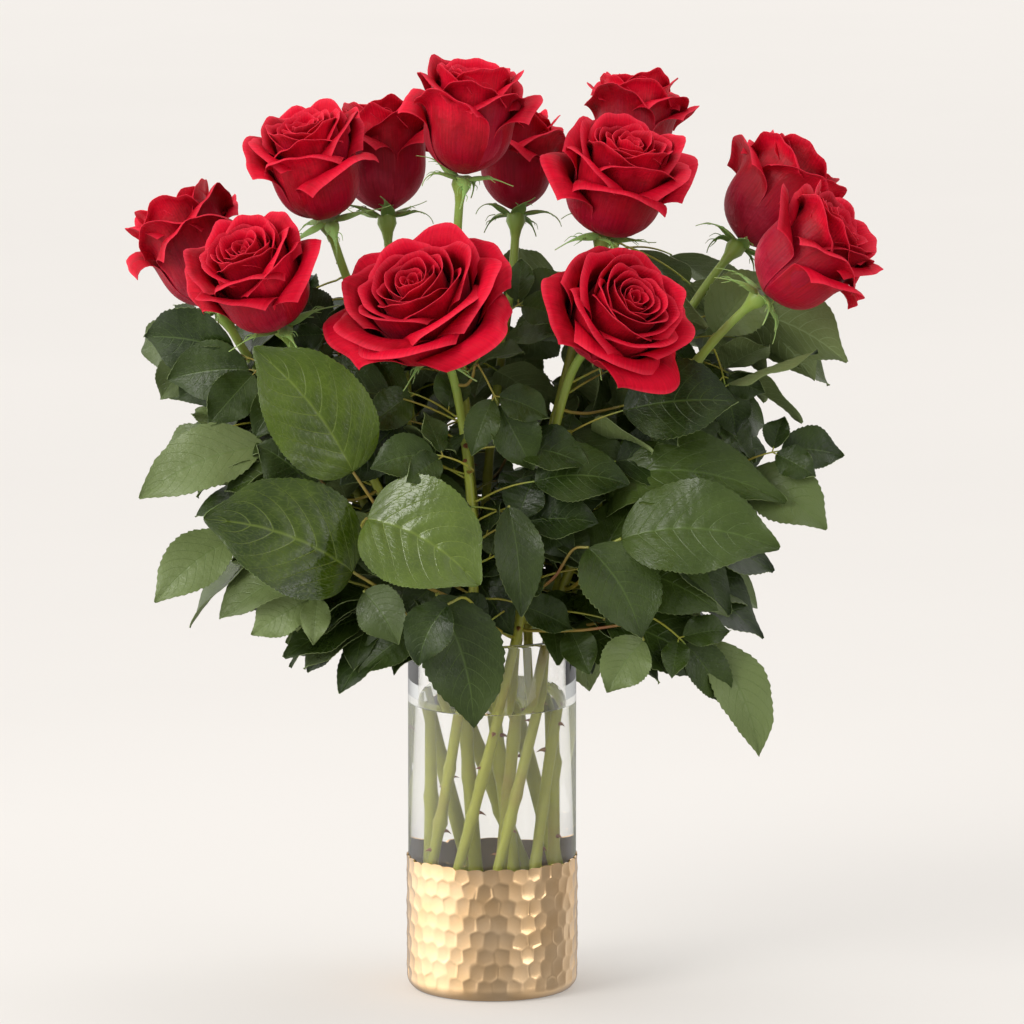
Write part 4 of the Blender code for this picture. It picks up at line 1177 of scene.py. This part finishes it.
def buildStage():
    finish, tree, shader = newMaterial("paleFloor")
    place = addNode(tree, "ShaderNodeTexCoord").outputs["Object"]
    blotch = placeGroup(tree, mottle, {"Place": place, "Scale": 3.0, "Low": 0.0, "High": 1.0})["Value"]
    colour = rampNode(tree, blotch, [(0.0, stage["floor"]), (1.0, tuple(c * 0.99 for c in stage["floor"]))])
    away = addNode(tree, "ShaderNodeVectorMath", {0: place}, operation="LENGTH").outputs["Value"]
    glow = rampNode(tree, mathNode(tree, "DIVIDE", away, stage["reach"]),
                    [(share, (level, level, level)) for share, level in stage["glow"]])
    tree.links.new(colour, shader.inputs["Base Color"])
    tree.links.new(colour, shader.inputs["Emission Color"])
    tree.links.new(glow, shader.inputs["Emission Strength"])
    setShader(shader, Roughness=0.9, Specular_IOR_Level=0.0)
    reach = stage["reach"]
    mesh = bpy.data.meshes.new("floor")
    mesh.from_pydata([(-reach, -reach, 0), (reach, -reach, 0), (reach, reach, 0), (-reach, reach, 0)], [],
                     [(0, 1, 2, 3)])
    mesh.materials.append(finish)
    made = bpy.data.objects.new("floor", mesh)
    bpy.context.scene.collection.objects.link(made)
    made.visible_glossy = False


def addLight(name, place, aim, size, power, colour=(1, 1, 1)):
    light = bpy.data.lights.new(name, "AREA")
    light.shape, light.size, light.size_y = "RECTANGLE", size[0], size[1]
    light.energy, light.color = power, colour
    made = bpy.data.objects.new(name, light)
    made.location = place
    made.rotation_euler = (Vector(aim) - Vector(place)).to_track_quat("-Z", "Y").to_euler()
    bpy.context.scene.collection.objects.link(made)


def buildLight():
    world = bpy.data.worlds.new("studio")
    bpy.context.scene.world = world
    world.use_nodes = True
    tree = world.node_tree
    around = addNode(tree, "ShaderNodeTexCoord").outputs["Generated"]
    parts = addNode(tree, "ShaderNodeSeparateXYZ", {0: around}).outputs
    level = rampNode(tree, mathNode(tree, "MULTIPLY", mathNode(tree, "ADD", parts["X"], 1.0), 0.5),
                     [(0.0, (1.90, 1.87, 1.83)), (0.08, (1.60, 1.57, 1.54)), (0.28, (0.66, 0.65, 0.64)),
                      (0.46, (0.44, 0.435, 0.43)), (0.62, (0.42, 0.415, 0.41)), (0.86, (0.90, 0.89, 0.87)),
                      (0.96, (0.46, 0.455, 0.45)), (1.0, (0.34, 0.335, 0.33))])
    rise = addNode(tree, "ShaderNodeMapRange", {"Value": parts["Z"], "From Min": -0.5, "From Max": 0.4,
                                                "To Min": 0.7, "To Max": 1.35}).outputs[0]
    level = addNode(tree, "ShaderNodeVectorMath", {0: level, "Scale": rise}, operation="SCALE").outputs[0]
    path = addNode(tree, "ShaderNodeLightPath")
    colour = mixColour(tree, path.outputs["Is Camera Ray"], level, stage["seen"])
    tree.links.new(colour, tree.nodes["Background"].inputs["Color"])
    addLight("keySoftbox", (-1.6, -1.3, 1.5), (0, 0, 0.3), (1.0, 1.2), 28, (1.0, 0.98, 0.95))
    addLight("sideFill", (3.6, -2.7, 1.1), (0, 0, 0.3), (1.4, 2.4), 20, (1.0, 0.98, 0.96))
    addLight("topSoftbox", (0.3, 0.5, 1.9), (0, 0, 0.2), (1.4, 1.0), 12)


def buildCamera():
    data = bpy.data.cameras.new("camera")
    data.sensor_width, data.lens = stage["sensor"], stage["lens"]
    data.clip_start, data.clip_end = 0.1, 60
    camera = bpy.data.objects.new("camera", data)
    bpy.context.scene.collection.objects.link(camera)
    tilt = math.radians(stage["tilt"])
    back = Vector((0, -math.cos(tilt), math.sin(tilt)))
    camera.location = Vector(stage["aim"]) + back * stage["away"]
    camera.rotation_euler = (-back).to_track_quat("-Z", "Y").to_euler()
    bpy.context.scene.camera = camera


buildStage()
buildLight()
buildCamera()
bpy.context.scene.view_settings.view_transform = "Standard"
